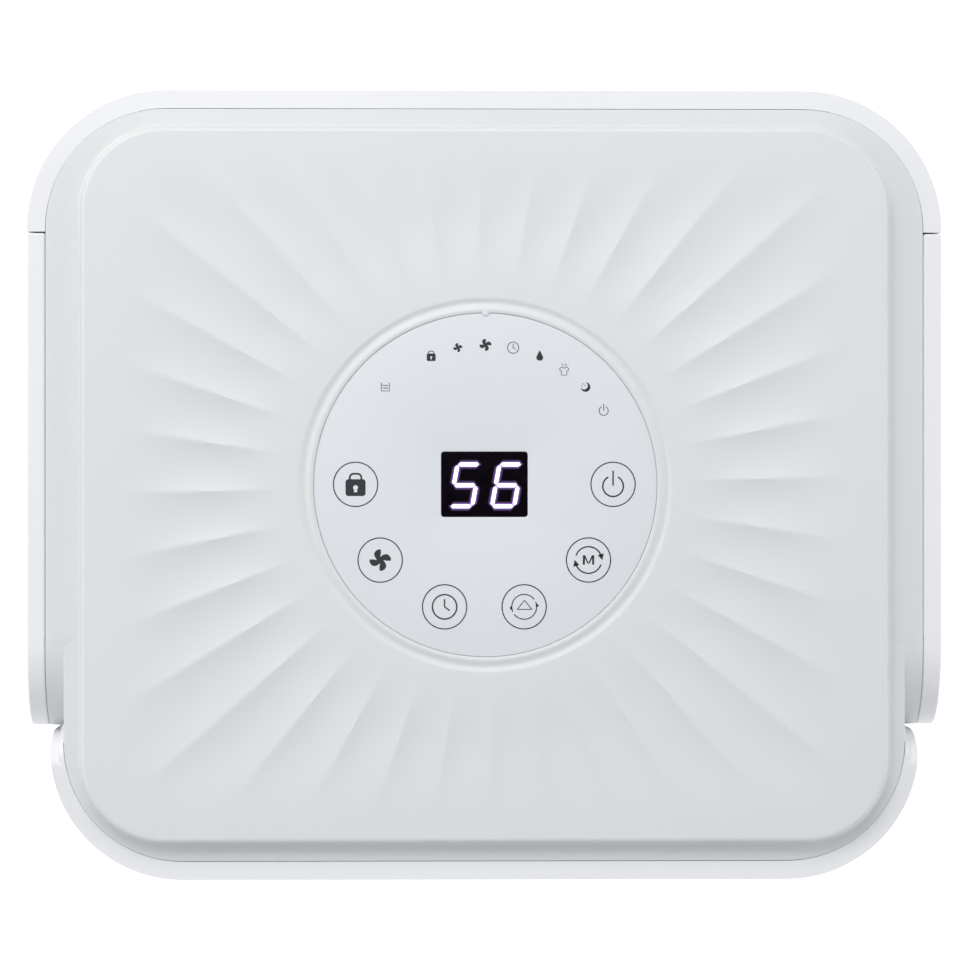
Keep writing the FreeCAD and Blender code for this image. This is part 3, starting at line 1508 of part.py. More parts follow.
feet()
base_pan()
rear_housing()
side_panel("side_panel_left", -1)
side_panel("side_panel_right", 1)
grip_cup("grip_cup_left", -1)
grip_cup("grip_cup_right", 1)
front_panel()
top_cover()
touch_panel()
touch_board()
display()
bulkhead()
tank_bay()
mid_deck()
tank_front()
level_window()
tank_bucket()
tank_lid()
tank_handle()
float_parts()
tank_sensor()
compressor()
accumulator()
serpentine("evaporator_tube", evaporator_y)
serpentine("condenser_tube", condenser_y)
coil_fins("evaporator_fins", evaporator_y)
coil_fins("condenser_fins", condenser_y)
coil_frame("coil_frame_left", -1)
coil_frame("coil_frame_right", 1)
refrigerant_lines()
drip_tray()
drain_plug()
fan_scroll()
fan_shroud()
fan_wheel()
fan_motor()
outlet_grille()
intake_cassette()
electronics()
mains_gland()
fasteners()
doc.recompute()

faults = [f"{thing.Name}: {thing.State}" for thing in doc.Objects if {"Invalid", "Error"} & set(thing.State)]
for label, thing in nodes.items():
    if thing.Shape.isNull() or not thing.Shape.isValid() or not thing.Shape.Solids:
        faults.append(f"{label}: its shape is empty or not valid")
if faults:
    raise RuntimeError("\n".join(faults))

os.makedirs("parts", exist_ok=True)
for label, thing in nodes.items():
    thing.Shape.exportStep(os.path.join("parts", f"{label}.step"))
print(f"{len(nodes)} sub-parts written")
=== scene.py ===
"""Looks of the dehumidifier: casing, fluted top, touch panel and display, on a plain studio floor."""

import json
import math

import bmesh
import bpy
import numpy as np
from mathutils import Matrix, Vector


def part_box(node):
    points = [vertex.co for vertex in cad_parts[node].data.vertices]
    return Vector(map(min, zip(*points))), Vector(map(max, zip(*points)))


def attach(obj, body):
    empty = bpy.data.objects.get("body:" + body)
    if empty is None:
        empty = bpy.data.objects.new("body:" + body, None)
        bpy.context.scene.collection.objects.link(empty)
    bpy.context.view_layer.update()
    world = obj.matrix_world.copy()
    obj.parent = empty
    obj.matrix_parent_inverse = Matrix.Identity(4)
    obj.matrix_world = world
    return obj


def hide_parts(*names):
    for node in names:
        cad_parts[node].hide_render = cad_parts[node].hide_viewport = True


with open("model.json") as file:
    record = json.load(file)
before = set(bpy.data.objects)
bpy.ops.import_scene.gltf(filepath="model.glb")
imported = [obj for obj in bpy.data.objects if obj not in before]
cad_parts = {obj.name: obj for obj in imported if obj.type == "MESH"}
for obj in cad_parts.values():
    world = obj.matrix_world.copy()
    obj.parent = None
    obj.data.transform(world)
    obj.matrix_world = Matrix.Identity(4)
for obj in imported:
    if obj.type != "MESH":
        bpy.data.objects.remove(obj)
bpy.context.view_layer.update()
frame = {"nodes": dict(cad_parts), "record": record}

MM = 0.001
nodes = frame["nodes"]
slot_of = {part["node"]: part["material_slot"] for part in frame["record"]["subparts"]}
body_of = {node: body for body, members in frame["record"]["behaviour"]["bodies"].items() for node in members}


# ---------------------------------------------------------------------------------------------
# Shader maths
# ---------------------------------------------------------------------------------------------


class Shade:
    """A socket of a material, on which plain arithmetic adds Math nodes."""

    def __init__(self, finish, socket):
        self.finish = finish
        self.socket = socket

    def math(self, operation, *others):
        """A Math node on this value and others."""
        sockets = {0: self, **{i + 1: other for i, other in enumerate(others)}}
        return self.finish.node("Math", {"operation": operation}, sockets)

    def __add__(self, other):
        return self.math("ADD", other)

    def __mul__(self, other):
        return self.math("MULTIPLY", other)

    def __sub__(self, other):
        return self.math("SUBTRACT", other)

    def __rsub__(self, other):
        return self.finish.node("Math", {"operation": "SUBTRACT"}, {0: other, 1: self})

    __radd__ = __add__
    __rmul__ = __mul__

    def clamped(self, low, high):
        """This value mapped from low..high to 0..1 with soft ends."""
        sockets = {"Value": self, "From Min": low, "From Max": high}
        return self.finish.node("MapRange", {"interpolation_type": "SMOOTHSTEP"}, sockets)


class Finish:
    """One procedural material."""

    def __init__(self, name):
        self.material = bpy.data.materials.new(name)
        self.material.use_nodes = True
        self.tree = self.material.node_tree
        self.tree.nodes.clear()

    def node(self, kind, settings=None, sockets=None, output=0):
        """Adds a node: its settings first, then the values or links of its sockets."""
        made = self.tree.nodes.new(f"ShaderNode{kind}")
        for key, value in (settings or {}).items():
            setattr(made, key, value)
        for key, value in (sockets or {}).items():
            if isinstance(value, Shade):
                self.tree.links.new(value.socket, made.inputs[key])
            else:
                made.inputs[key].default_value = value
        return Shade(self, made.outputs[output])

    def place(self):
        """Where a point is on its object, in metres."""
        return self.node("TexCoord", output=3)

    def noise(self, scale, detail=3.0, stretch=(1, 1, 1), roughness=0.5):
        """Soft noise of a scale per metre, stretched along the axes."""
        spot = self.node("Mapping", None, {"Vector": self.place(), "Scale": stretch})
        sockets = {"Vector": spot, "Scale": scale, "Detail": detail, "Roughness": roughness}
        return self.node("TexNoise", None, sockets)

    def mix(self, factor, first, second):
        """Two colours mixed by a factor."""
        return self.node("Mix", {"data_type": "RGBA"}, {0: factor, 6: first, 7: second}, output=2)

    def bump(self, height, distance):
        """A normal raised by a height, with distance in metres for a height of 1."""
        return self.node("Bump", None, {"Height": height, "Distance": distance, "Strength": 1.0})

    def surface(self, **sockets):
        """The finished Principled surface; underscores stand for spaces in socket names."""
        named = {key.replace("_", " "): value for key, value in sockets.items()}
        shader = self.node("BsdfPrincipled", None, named)
        self.node_output(shader)
        return self.material

    def node_output(self, shader):
        """Sends a shader to the material's output."""
        output = self.tree.nodes.new("ShaderNodeOutputMaterial")
        self.tree.links.new(shader.socket, output.inputs["Surface"])


def tint(colour, factor, shift=0.0):
    """A colour made lighter or darker, and a little cooler or warmer, with full alpha."""
    red, green, blue = colour
    return (red * factor * (1 - shift), green * factor, blue * factor * (1 + shift), 1.0)


# ---------------------------------------------------------------------------------------------
# Finishes
# ---------------------------------------------------------------------------------------------


def moulded(name, colour, gloss, grain=0.000012):
    """Injection-moulded plastic: spark-eroded grain, slight flow mottle and uneven sheen."""
    finish = Finish(name)
    mottle = 0.012
    flow = finish.noise(9, 4)
    fine = finish.noise(2600, 2, roughness=0.6)
    smudge = finish.noise(38, 5, roughness=0.65)
    darker, lighter = tint(colour, 1 - mottle, 0.003), tint(colour, 1 + mottle, -0.002)
    base = finish.mix(flow.clamped(0.3, 0.7), darker, lighter)
    return finish.surface(
        Base_Color=base,
        Roughness=gloss + (smudge - 0.5) * 0.10 + (fine - 0.5) * 0.05,
        Normal=finish.bump(fine, grain),
        IOR=1.48,
        Specular_IOR_Level=0.42,
    )


def film(name, colour):
    """The touch panel's hard-coated film: smooth, with faint wipe marks."""
    finish = Finish(name)
    wipe = finish.noise(60, 4, stretch=(1, 5, 1))
    cloud = finish.noise(12, 3)
    base = finish.mix(cloud.clamped(0.3, 0.7), tint(colour, 0.992), tint(colour, 1.006))
    orange_peel = finish.noise(420, 2)
    return finish.surface(
        Base_Color=base,
        Roughness=0.30 + (wipe - 0.5) * 0.08,
        Normal=finish.bump(orange_peel, 0.000004),
        Coat_Weight=0.12,
        Coat_Roughness=0.12,
    )


def ink(name, colour):
    """Screen-printed ink: dense, with the slight unevenness of the mesh."""
    finish = Finish(name)
    speck = finish.noise(5200, 2)
    base = finish.mix(speck.clamped(0.35, 0.75), tint(colour, 1.0), tint(colour, 1.5))
    return finish.surface(Base_Color=base, Roughness=0.42 + speck * 0.08, Normal=finish.bump(speck, 0.000003))


def smoked(name):
    """The display's black lens."""
    finish = Finish(name)
    haze = finish.noise(240, 3)
    base = finish.mix(haze.clamped(0.3, 0.8), (0.002, 0.0015, 0.003, 1), (0.005, 0.003, 0.007, 1))
    return finish.surface(
        Base_Color=base,
        Roughness=0.30 + haze * 0.06,
        Normal=finish.bump(haze, 0.000003),
        Specular_IOR_Level=0.03,
    )


def lit(name, core, strength):
    """A lit segment, with the diffuser's slight mottle."""
    finish = Finish(name)
    spread = 0.12
    mottle = finish.noise(900, 2)
    glow = finish.mix(mottle.clamped(0.3, 0.7), tint(core, 1 - spread), tint(core, 1.0))
    return finish.surface(
        Base_Color=glow, Roughness=0.5 + mottle * 0.05, Emission_Color=glow, Emission_Strength=strength
    )


def clear_plastic(name, colour, alpha):
    """Translucent polypropylene with swirls from its filling."""
    finish = Finish(name)
    swirl = finish.noise(26, 5, stretch=(1, 1, 2.2))
    fine = finish.noise(1400, 2)
    base = finish.mix(swirl.clamped(0.3, 0.7), tint(colour, 0.96), tint(colour, 1.03))
    return finish.surface(
        Base_Color=base,
        Roughness=0.26 + (swirl - 0.5) * 0.12,
        Normal=finish.bump(fine, 0.000006),
        Alpha=alpha + (swirl - 0.5) * 0.08,
    )


def rubber(name, colour):
    """Matt moulded rubber with bloom."""
    finish = Finish(name)
    bloom = finish.noise(90, 5)
    fine = finish.noise(1900, 3)
    base = finish.mix(bloom.clamped(0.4, 0.8), tint(colour, 1.0), tint(colour, 1.7))
    return finish.surface(
        Base_Color=base, Roughness=0.72 + (bloom - 0.5) * 0.18, Normal=finish.bump(fine, 0.00003)
    )


def metal(name, colour, gloss, stretch=(1, 1, 30), stain=0.08):
    """Rolled, drawn or plated metal: long fine lines and slight staining."""
    finish = Finish(name)
    lines = finish.noise(700, 3, stretch=stretch)
    cloud = finish.noise(34, 5)
    base = finish.mix(cloud.clamped(0.35, 0.75), tint(colour, 1 - stain), tint(colour, 1.0))
    return finish.surface(
        Base_Color=base,
        Metallic=1.0,
        Roughness=gloss + (lines - 0.5) * 0.16 + (cloud - 0.5) * 0.10,
        Normal=finish.bump(lines, 0.000006),
    )


def enamel(name, colour):
    """Thick black enamel with runs and orange peel."""
    finish = Finish(name)
    peel = finish.noise(260, 2)
    dust = finish.noise(60, 6)
    base = finish.mix(dust.clamped(0.45, 0.8), tint(colour, 1.0), tint(colour, 2.4))
    return finish.surface(
        Base_Color=base,
        Roughness=0.30 + (dust - 0.5) * 0.15,
        Normal=finish.bump(peel, 0.00003),
        Coat_Weight=0.3,
    )


def circuit(name, colour):
    """Solder mask over copper tracks."""
    finish = Finish(name)
    grid = {"Vector": finish.place(), "Scale": 170.0}
    tracks = finish.node("TexVoronoi", {"distance": "MANHATTAN", "feature": "DISTANCE_TO_EDGE"}, grid)
    lane = tracks.clamped(0.04, 0.09)
    base = finish.mix(lane, tint(colour, 1.7), tint(colour, 1.0))
    return finish.surface(Base_Color=base, Roughness=0.34 + lane * 0.08, Normal=finish.bump(lane, 0.00003))


def foam(name, colour):
    """Closed-cell foam."""
    finish = Finish(name)
    cells = finish.node("TexVoronoi", None, {"Vector": finish.place(), "Scale": 900.0})
    base = finish.mix(cells.clamped(0.1, 0.8), tint(colour, 0.9), tint(colour, 1.03))
    return finish.surface(Base_Color=base, Roughness=0.85 - cells * 0.1, Normal=finish.bump(cells, 0.00016))


WHITE = (0.835, 0.838, 0.858)
GREY = (0.715, 0.735, 0.738)

finishes = {
    "casing_white": moulded("satin white casing", WHITE, 0.40),
    "cover_grey": moulded("pale grey-green cover", GREY, 0.46, grain=0.000010),
    "touch_film": film("touch panel film", (0.738, 0.757, 0.793)),
    "display_black": smoked("smoked display lens"),
    "board_green": circuit("green circuit board", (0.02, 0.11, 0.05)),
    "rubber_dark": rubber("dark rubber", (0.03, 0.03, 0.032)),
    "inner_plastic": moulded("inner grey plastic", (0.42, 0.44, 0.45), 0.5, grain=0.00003),
    "tank_clear": clear_plastic("translucent tank", (0.74, 0.80, 0.84), 0.62),
    "float_foam": foam("closed foam float", (0.80, 0.79, 0.74)),
    "lever_white": moulded("white lever", (0.75, 0.75, 0.74), 0.45),
    "magnet_dark": metal("ferrite magnet", (0.10, 0.10, 0.11), 0.6),
    "bright_steel": metal("zinc-plated steel", (0.62, 0.63, 0.64), 0.32),
    "compressor_black": enamel("black enamel", (0.012, 0.012, 0.013)),
    "copper": metal("drawn copper", (0.78, 0.36, 0.20), 0.26, stretch=(30, 1, 1), stain=0.25),
    "fin_aluminium": metal("aluminium foil", (0.80, 0.81, 0.82), 0.30),
    "mesh_dark": moulded("dark woven mesh", (0.05, 0.05, 0.055), 0.6),
}
dark_ink = ink("dark grey ink", (0.022, 0.024, 0.028))
thin_ink = ink("fine dark ink", (0.075, 0.085, 0.092))
segment_light = lit("white display segment", (1.0, 0.97, 1.0), 1.9)
halo_finishes = (
    (0.85, lit("faint violet glow", (0.012, 0.005, 0.024), 1.0)),
    (0.55, lit("violet glow", (0.045, 0.018, 0.090), 1.0)),
    (0.28, lit("bright violet glow", (0.20, 0.11, 0.36), 1.0)),
)


# ---------------------------------------------------------------------------------------------
# Making pieces
# ---------------------------------------------------------------------------------------------


def add_piece(name, mesh, finish, body, covers=(), crease=38):
    """Puts a mesh in the scene as a finished piece that rides on a body."""
    piece = bpy.data.objects.new(name, mesh)
    bpy.context.scene.collection.objects.link(piece)
    mesh.materials.clear()
    mesh.materials.append(finish)
    if crease:
        mesh.shade_smooth()
        mesh.set_sharp_from_angle(angle=math.radians(crease))
    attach(piece, body)
    if covers:
        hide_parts(*covers)
    return piece


def add_casing_piece(name, mesh, slot, crease, covers=()):
    """A piece of the casing in its slot's own finish."""
    add_piece(name, mesh, finishes[slot], "casing", covers, crease)


def mesh_from(name, points, faces):
    """A mesh from points in metres and faces of point numbers, its normals turned outwards."""
    mesh = bpy.data.meshes.new(name)
    mesh.from_pydata([tuple(p) for p in points], [], faces)
    shape = bmesh.new()
    shape.from_mesh(mesh)
    bmesh.ops.recalc_face_normals(shape, faces=shape.faces)
    shape.to_mesh(mesh)
    shape.free()
    return mesh


def apply_modifiers(piece):
    """Replaces a piece's mesh by its modified one."""
    graph = bpy.context.evaluated_depsgraph_get()
    made = bpy.data.meshes.new_from_object(piece.evaluated_get(graph))
    piece.modifiers.clear()
    piece.data = made
    return made


def softened(node, name, edge):
    """A moulded copy of a CAD node, with every sharp edge rounded."""
    crease = math.radians(38)
    mesh = nodes[node].data.copy()
    shape = bmesh.new()
    shape.from_mesh(mesh)
    bmesh.ops.remove_doubles(shape, verts=shape.verts, dist=0.000002)
    bmesh.ops.dissolve_limit(shape, angle_limit=math.radians(0.6), verts=shape.verts, edges=shape.edges)
    shape.to_mesh(mesh)
    shape.free()
    draft = bpy.data.objects.new(name + "_draft", mesh)
    bpy.context.scene.collection.objects.link(draft)
    bevel = draft.modifiers.new("rounding", "BEVEL")
    bevel.width = edge
    bevel.segments = 3
    bevel.limit_method = "ANGLE"
    bevel.angle_limit = crease
    bevel.use_clamp_overlap = True
    bevel.miter_outer = "MITER_ARC"
    rounded = apply_modifiers(draft)
    rounded.shade_smooth()
    rounded.set_sharp_from_angle(angle=crease)
    flatten = draft.modifiers.new("flat faces", "WEIGHTED_NORMAL")
    flatten.keep_sharp = True
    flatten.weight = 100
    made = apply_modifiers(draft)
    bpy.data.objects.remove(draft)
    return add_piece(name, made, finishes[slot_of[node]], body_of[node], (node,), None)


# ---------------------------------------------------------------------------------------------
# The cover: a fluted raised panel in a plain rim
# ---------------------------------------------------------------------------------------------

low_corner, high_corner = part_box("top_cover")
TOP = high_corner.z
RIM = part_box("rear_housing")[1].z
SLACK = 0.28 * MM
COVER_SIDE, COVER_REAR, COVER_FRONT = high_corner.x + SLACK, high_corner.y + SLACK, low_corner.y - SLACK
FRONT_INNER = COVER_SIDE - 5.5 * MM
SCOOP_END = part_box("side_panel_right")[0].y
SCOOP_RADIUS = 25 * MM
SCOOP_START = SCOOP_END + SCOOP_RADIUS
SKIRT_LOW = low_corner.z
COVER_LIP, SKIRT_WALL, PANEL_WALL = 0.32 * MM, 2.4 * MM, 3.2 * MM
EAR_FALL, EAR_LENGTH = 24 * MM, 10.5 * MM
EAR_ROOT, EAR_DROP, EAR_INSET = 3 * MM, 0.3 * MM, 2.7 * MM
PANEL_X, PANEL_Y, PANEL_CORNER = 121.4 * MM, 107.3 * MM, 25 * MM
REAR_CORNER, FRONT_CORNER = 36 * MM, 35.5 * MM
SEAT_RADIUS, RING_RADIUS = 51.69 * MM, 56.5 * MM
SEAT_LEDGE, SEAT_DEPTH = 3 * MM, 2.2 * MM
VALLEY_START, VALLEY_MIDDLE, VALLEY_DEPTH = 52.5 * MM, 54.65 * MM, 0.68 * MM
STEP_START, STEP_SLOPE, STEP_CROWN, STEP_COVE = -1.25 * MM, math.radians(80), 1.2 * MM, 0.9 * MM
FLUTES = 36
FLUTE_PHASE = math.radians(-1.3)
FLUTE_DEPTH = 1.2 * MM
FLUTE_START, FLUTE_RISE = 59 * MM, 24 * MM
FLUTE_END_X, FLUTE_END_Y, FLUTE_END_CORNER, FLUTE_END_FADE = 113 * MM, 101 * MM, 24 * MM, 26 * MM
STEPS_PER_FLUTE = 20


def path(corners, steps=24):
    """A closed outline from (x, y, radius) corners, each rounded corner drawn as an arc."""
    points = []
    count = len(corners)
    for i, (x, y, radius) in enumerate(corners):
        if radius == 0:
            points.append((x, y))
            continue
        before, after = corners[i - 1], corners[(i + 1) % count]
        here = Vector((x, y))
        back = (Vector(before[:2]) - here).normalized() * radius
        ahead = (Vector(after[:2]) - here).normalized() * radius
        centre = here + back + ahead
        for k in range(steps + 1):
            turn = math.pi / 2 * k / steps
            points.append(tuple(centre - ahead * math.cos(turn) - back * math.sin(turn)))
    return np.array(points)


def reach(outline, angles):
    """How far each ray from the middle goes before it meets a closed outline."""
    first = outline
    second = np.roll(outline, -1, axis=0)
    run = second - first
    away = np.stack([np.cos(angles), np.sin(angles)], 1)
    cross = away[:, None, 0] * run[None, :, 1] - away[:, None, 1] * run[None, :, 0]
    cross = np.where(np.abs(cross) < 1e-15, 1e-15, cross)
    distance = (first[None, :, 0] * run[None, :, 1] - first[None, :, 1] * run[None, :, 0]) / cross
    share = (first[None, :, 0] * away[:, None, 1] - first[None, :, 1] * away[:, None, 0]) / cross
    good = (share > -1e-9) & (share < 1 + 1e-9) & (distance > 0)
    return np.where(good, distance, -1).max(axis=1)


def panel_outline(grow):
    """The raised panel's outline, grown outwards."""
    x, y, radius = PANEL_X + grow, PANEL_Y + grow, PANEL_CORNER + grow
    return path([(x, -y, radius), (x, y, radius), (-x, y, radius), (-x, -y, radius)])


def rim_outline(inset):
    """The cover's outer outline: narrower in front of the scoops."""
    wide, narrow = COVER_SIDE - inset, FRONT_INNER - inset
    rear, front = COVER_REAR - inset, COVER_FRONT + inset
    step = SCOOP_START + inset
    right = [
        (narrow, front, FRONT_CORNER - inset), (narrow, step, 0), (wide, step, 0),
        (wide, rear, REAR_CORNER - inset),
    ]
    left = [(-x, y, radius) for x, y, radius in reversed(right)]
    return path(right + left)


def soft_step(value):
    """0 to 1 with level ends."""
    share = np.clip(value, 0, 1)
    return share * share * (3 - 2 * share)


def flute_fall(x, y):
    """How far the fluted surface lies below the panel at a point."""
    distance = np.hypot(x, y)
    turn = np.arctan2(x, y) - FLUTE_PHASE
    phase = (turn * FLUTES / (2 * math.pi)) % 1.0
    scallop = 1 - (2 * phase - 1) ** 2
    start = soft_step((distance - FLUTE_START) / FLUTE_RISE)
    over_x = np.maximum(np.abs(x) - (FLUTE_END_X - FLUTE_END_CORNER), 0)
    over_y = np.maximum(np.abs(y) - (FLUTE_END_Y - FLUTE_END_CORNER), 0)
    from_corner = FLUTE_END_CORNER - np.hypot(over_x, over_y)
    from_sides = np.minimum(FLUTE_END_X - np.abs(x), FLUTE_END_Y - np.abs(y))
    inside = np.where((over_x == 0) & (over_y == 0), from_sides, from_corner)
    end = soft_step(inside / FLUTE_END_FADE)
    return FLUTE_DEPTH * scallop * start * end


def valley_fall(radius):
    """How deep the round groove beside the disc is at a distance from the middle."""
    if radius < VALLEY_MIDDLE:
        share = (radius - VALLEY_START) / (VALLEY_MIDDLE - VALLEY_START)
    else:
        share = (RING_RADIUS - radius) / (RING_RADIUS - VALLEY_MIDDLE)
    return VALLEY_DEPTH * (1 - math.cos(math.pi * share)) / 2


def step_profile():
    """The soft step from the raised panel down to the rim: (outline growth, height)."""
    foot = RIM + 0.1 * MM
    drop = (STEP_CROWN + STEP_COVE) * (1 - math.cos(STEP_SLOPE))
    straight = (TOP - foot - drop) / math.tan(STEP_SLOPE)
    end = STEP_START + (STEP_CROWN + STEP_COVE) * math.sin(STEP_SLOPE) + straight
    profile = []
    for k in range(1, 11):
        turn = STEP_SLOPE * k / 10
        profile.append((STEP_START + STEP_CROWN * math.sin(turn), TOP - STEP_CROWN * (1 - math.cos(turn))))
    for k in range(8):
        turn = STEP_SLOPE * (1 - k / 7)
        profile.append((end - STEP_COVE * math.sin(turn), foot + STEP_COVE * (1 - math.cos(turn))))
    return profile


def cover_rings(angles):
    """The cover's rings from the seat outwards: (distance along each ray, height)."""
    rings = []
    seat_inner, seat_floor = SEAT_RADIUS - SEAT_LEDGE, TOP - SEAT_DEPTH
    centre_profile = [
        (seat_inner, seat_floor), (SEAT_RADIUS, seat_floor), (SEAT_RADIUS, TOP - 0.50 * MM),
        (SEAT_RADIUS + 0.06 * MM, TOP - 0.32 * MM), (SEAT_RADIUS + 0.2 * MM, TOP - 0.20 * MM),
        (SEAT_RADIUS + 0.45 * MM, TOP - 0.10 * MM), (VALLEY_START, TOP - 0.04 * MM),
    ]
    for k in range(1, 25):
        radius = VALLEY_START + (RING_RADIUS - VALLEY_START) * k / 24
        centre_profile.append((radius, TOP - valley_fall(radius)))
    ones = np.ones_like(angles)
    for radius, height in centre_profile:
        rings.append((radius * ones, height * ones))
    edge = reach(panel_outline(STEP_START), angles)
    for k in range(1, 73):
        distance = RING_RADIUS + (edge - RING_RADIUS) * k / 72
        x, y = distance * np.cos(angles), distance * np.sin(angles)
        rings.append((distance, TOP - flute_fall(x, y)))
    for grow, height in step_profile():
        rings.append((reach(panel_outline(grow), angles), height * ones))
    for k in range(5):
        turn = math.pi / 2 * k / 4
        inset = COVER_LIP * (1 - math.sin(turn))
        rings.append((reach(rim_outline(inset), angles), (RIM - COVER_LIP * (1 - math.cos(turn))) * ones))
    under_rim, under_step, under_panel = RIM - SKIRT_WALL, RIM - 1.4 * MM, TOP - PANEL_WALL
    for inset, height in ((0, SKIRT_LOW), (SKIRT_WALL, SKIRT_LOW), (SKIRT_WALL, under_rim)):
        rings.append((reach(rim_outline(inset), angles), height * ones))
    for shrink, height in ((PANEL_WALL / 2, under_rim), (PANEL_WALL, under_step), (PANEL_WALL, under_panel)):
        rings.append((reach(panel_outline(-shrink), angles), height * ones))
    rings.append((seat_inner * ones, under_panel * ones))
    return rings


def cover_angles():
    """Even angles, and the exact directions of the outline's corners."""
    even = np.arange(FLUTES * STEPS_PER_FLUTE) / (FLUTES * STEPS_PER_FLUTE) * 2 * math.pi
    even = (even + math.pi / 2 - FLUTE_PHASE) % (2 * math.pi)
    special = []
    for inset in (0, COVER_LIP, SKIRT_WALL):
        for x in (COVER_SIDE - inset, FRONT_INNER - inset):
            y = SCOOP_START + inset
            special += [math.atan2(y, x) % (2 * math.pi), math.atan2(y, -x) % (2 * math.pi)]
    return np.unique(np.round(np.concatenate([even, special]), 7))


def ring_mesh(name, angles, rings):
    """Bridges rings of points into a closed mesh, the last ring joined to the first."""
    points = []
    for distance, height in rings:
        points.append(np.stack([distance * np.cos(angles), distance * np.sin(angles), height], 1))
    points = np.concatenate(points)
    count = len(angles)
    faces = []
    for r in range(len(rings)):
        here, following = r * count, (r + 1) % len(rings) * count
        for k in range(count):
            right = (k + 1) % count
            faces.append((here + k, here + right, following + right, following + k))
    return mesh_from(name, points, faces)


def scoop(sign):
    """The floor of one scoop, falling as a quarter circle beside its wall."""
    back = SCOOP_START + 2.5 * MM
    low = RIM - SCOOP_RADIUS - 0.6 * MM
    profile = [(back, low), (back, RIM - 0.01 * MM), (SCOOP_START, RIM - 0.01 * MM)]
    for k in range(1, 31):
        turn = math.pi / 2 * k / 30
        fall = SCOOP_RADIUS * (1 - math.cos(turn))
        profile.append((SCOOP_START - SCOOP_RADIUS * math.sin(turn), RIM - fall))
    profile.append((SCOOP_END, low))
    inner, outer = FRONT_INNER - 1.5 * MM, COVER_SIDE
    wall = [(back, low), (back, RIM - 1 * MM), (SCOOP_END, RIM - 1 * MM), (SCOOP_END, low)]
    points, faces = [], []
    for outline, near, far in ((profile, inner, outer), (wall, inner, FRONT_INNER + 0.02 * MM)):
        base, count = len(points), len(outline)
        points += [(sign * near, y, z) for y, z in outline] + [(sign * far, y, z) for y, z in outline]
        faces += [tuple(range(base, base + count)), tuple(range(base + 2 * count - 1, base + count - 1, -1))]
        faces += [(base + k, base + (k + 1) % count, base + count + (k + 1) % count, base + count + k)
                  for k in range(count)]
    return points, faces


def ear_lip(sign):
    """The white lip that closes the front shell's falling corner against the cover."""
    front_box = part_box("front_panel")
    line = front_box[1].y - 0.05 * MM
    inner, outer = FRONT_INNER + 0.12 * MM, front_box[1].x - EAR_INSET
    low = RIM - EAR_FALL
    root = line - EAR_LENGTH - EAR_ROOT
    profile = [(root, low), (root, RIM - EAR_DROP)]
    for k in range(25):
        turn = math.pi / 2 * k / 24
        height = low + (EAR_FALL - EAR_DROP) * math.cos(turn)
        profile.append((line - EAR_LENGTH * (1 - math.sin(turn)), height))
    count = len(profile)
    points = [(sign * inner, y, z) for y, z in profile] + [(sign * outer, y, z) for y, z in profile]
    faces = [tuple(range(count)), tuple(range(2 * count - 1, count - 1, -1))]
    faces += [(k, (k + 1) % count, count + (k + 1) % count, count + k) for k in range(count)]
    return points, faces


def make_cover():
    """The whole cover: its shell and both scoop floors, and the front shell's lips beside it."""
    angles = cover_angles()
    mesh = ring_mesh("cover_shell", angles, cover_rings(angles))
    add_casing_piece("cover_shell", mesh, "cover_grey", 34, ("top_cover",))
    for sign, side in ((-1, "left"), (1, "right")):
        floor = mesh_from(f"scoop_{side}", *scoop(sign))
        add_casing_piece(f"scoop_{side}", floor, "cover_grey", 30)
        lip = mesh_from(f"ear_lip_{side}", *ear_lip(sign))
        add_casing_piece(f"ear_lip_{side}", lip, "casing_white", 30)


# ---------------------------------------------------------------------------------------------
# The touch panel, its prints and the display
# ---------------------------------------------------------------------------------------------

DISC_RADIUS = 51.62 * MM
DISC_TOP = TOP - 0.45 * MM
PRINT = 0.04 * MM
WINDOW_X, WINDOW_Y = 13.02 * MM, 9.82 * MM
PRINT_SHIFT = (-0.32 * MM, 0.20 * MM)
BUTTON_CIRCLE, BUTTON_RADIUS = 38.7 * MM, 6.65 * MM
FIGURE_ROW, FIGURE_COLUMN, FIGURE_LEAN = 6.28 * MM, 3.34 * MM, 0.18
SEGMENT, SEGMENT_GAP = 1.08 * MM, 0.29 * MM
FIGURE_DROP = -0.30 * MM
FIGURE_PLACES = ((-5.86 * MM, "afgcd"), (6.74 * MM, "afgedc"))
SIGN_CIRCLE = 42.1 * MM
KEY_RADIUS, KEY_SHIFT = 1.05 * MM, 0.25 * MM
PLATE_THICK, LENS_THICK = 2 * MM, 13.5 * MM


def plate(name, outline, low, high, edge, hole=None):
    """A flat plate from an outline, with a softened top edge and an optional hole."""
    shape = bmesh.new()
    loops = [outline] + ([hole] if hole is not None else [])
    edges = []
    for loop in loops:
        ring = [shape.verts.new((x, y, high)) for x, y in loop]
        edges += [shape.edges.new((ring[i], ring[(i + 1) % len(ring)])) for i in range(len(ring))]
    made = bmesh.ops.triangle_fill(shape, use_beauty=True, use_dissolve=False, edges=edges)
    faces = [item for item in made["geom"] if isinstance(item, bmesh.types.BMFace)]
    grown = bmesh.ops.extrude_face_region(shape, geom=faces)
    moved = [item for item in grown["geom"] if isinstance(item, bmesh.types.BMVert)]
    bmesh.ops.translate(shape, verts=moved, vec=(0, 0, low - high))
    bmesh.ops.recalc_face_normals(shape, faces=shape.faces)
    rim = [e for e in shape.edges
           if len(e.link_faces) == 2 and e.calc_face_angle(0) > math.radians(60)
           and all(abs(v.co.z - high) < 1e-7 for v in e.verts)]
    bmesh.ops.bevel(shape, geom=rim, offset=edge, segments=3, profile=0.5, affect="EDGES")
    mesh = bpy.data.meshes.new(name)
    shape.to_mesh(mesh)
    shape.free()
    return mesh


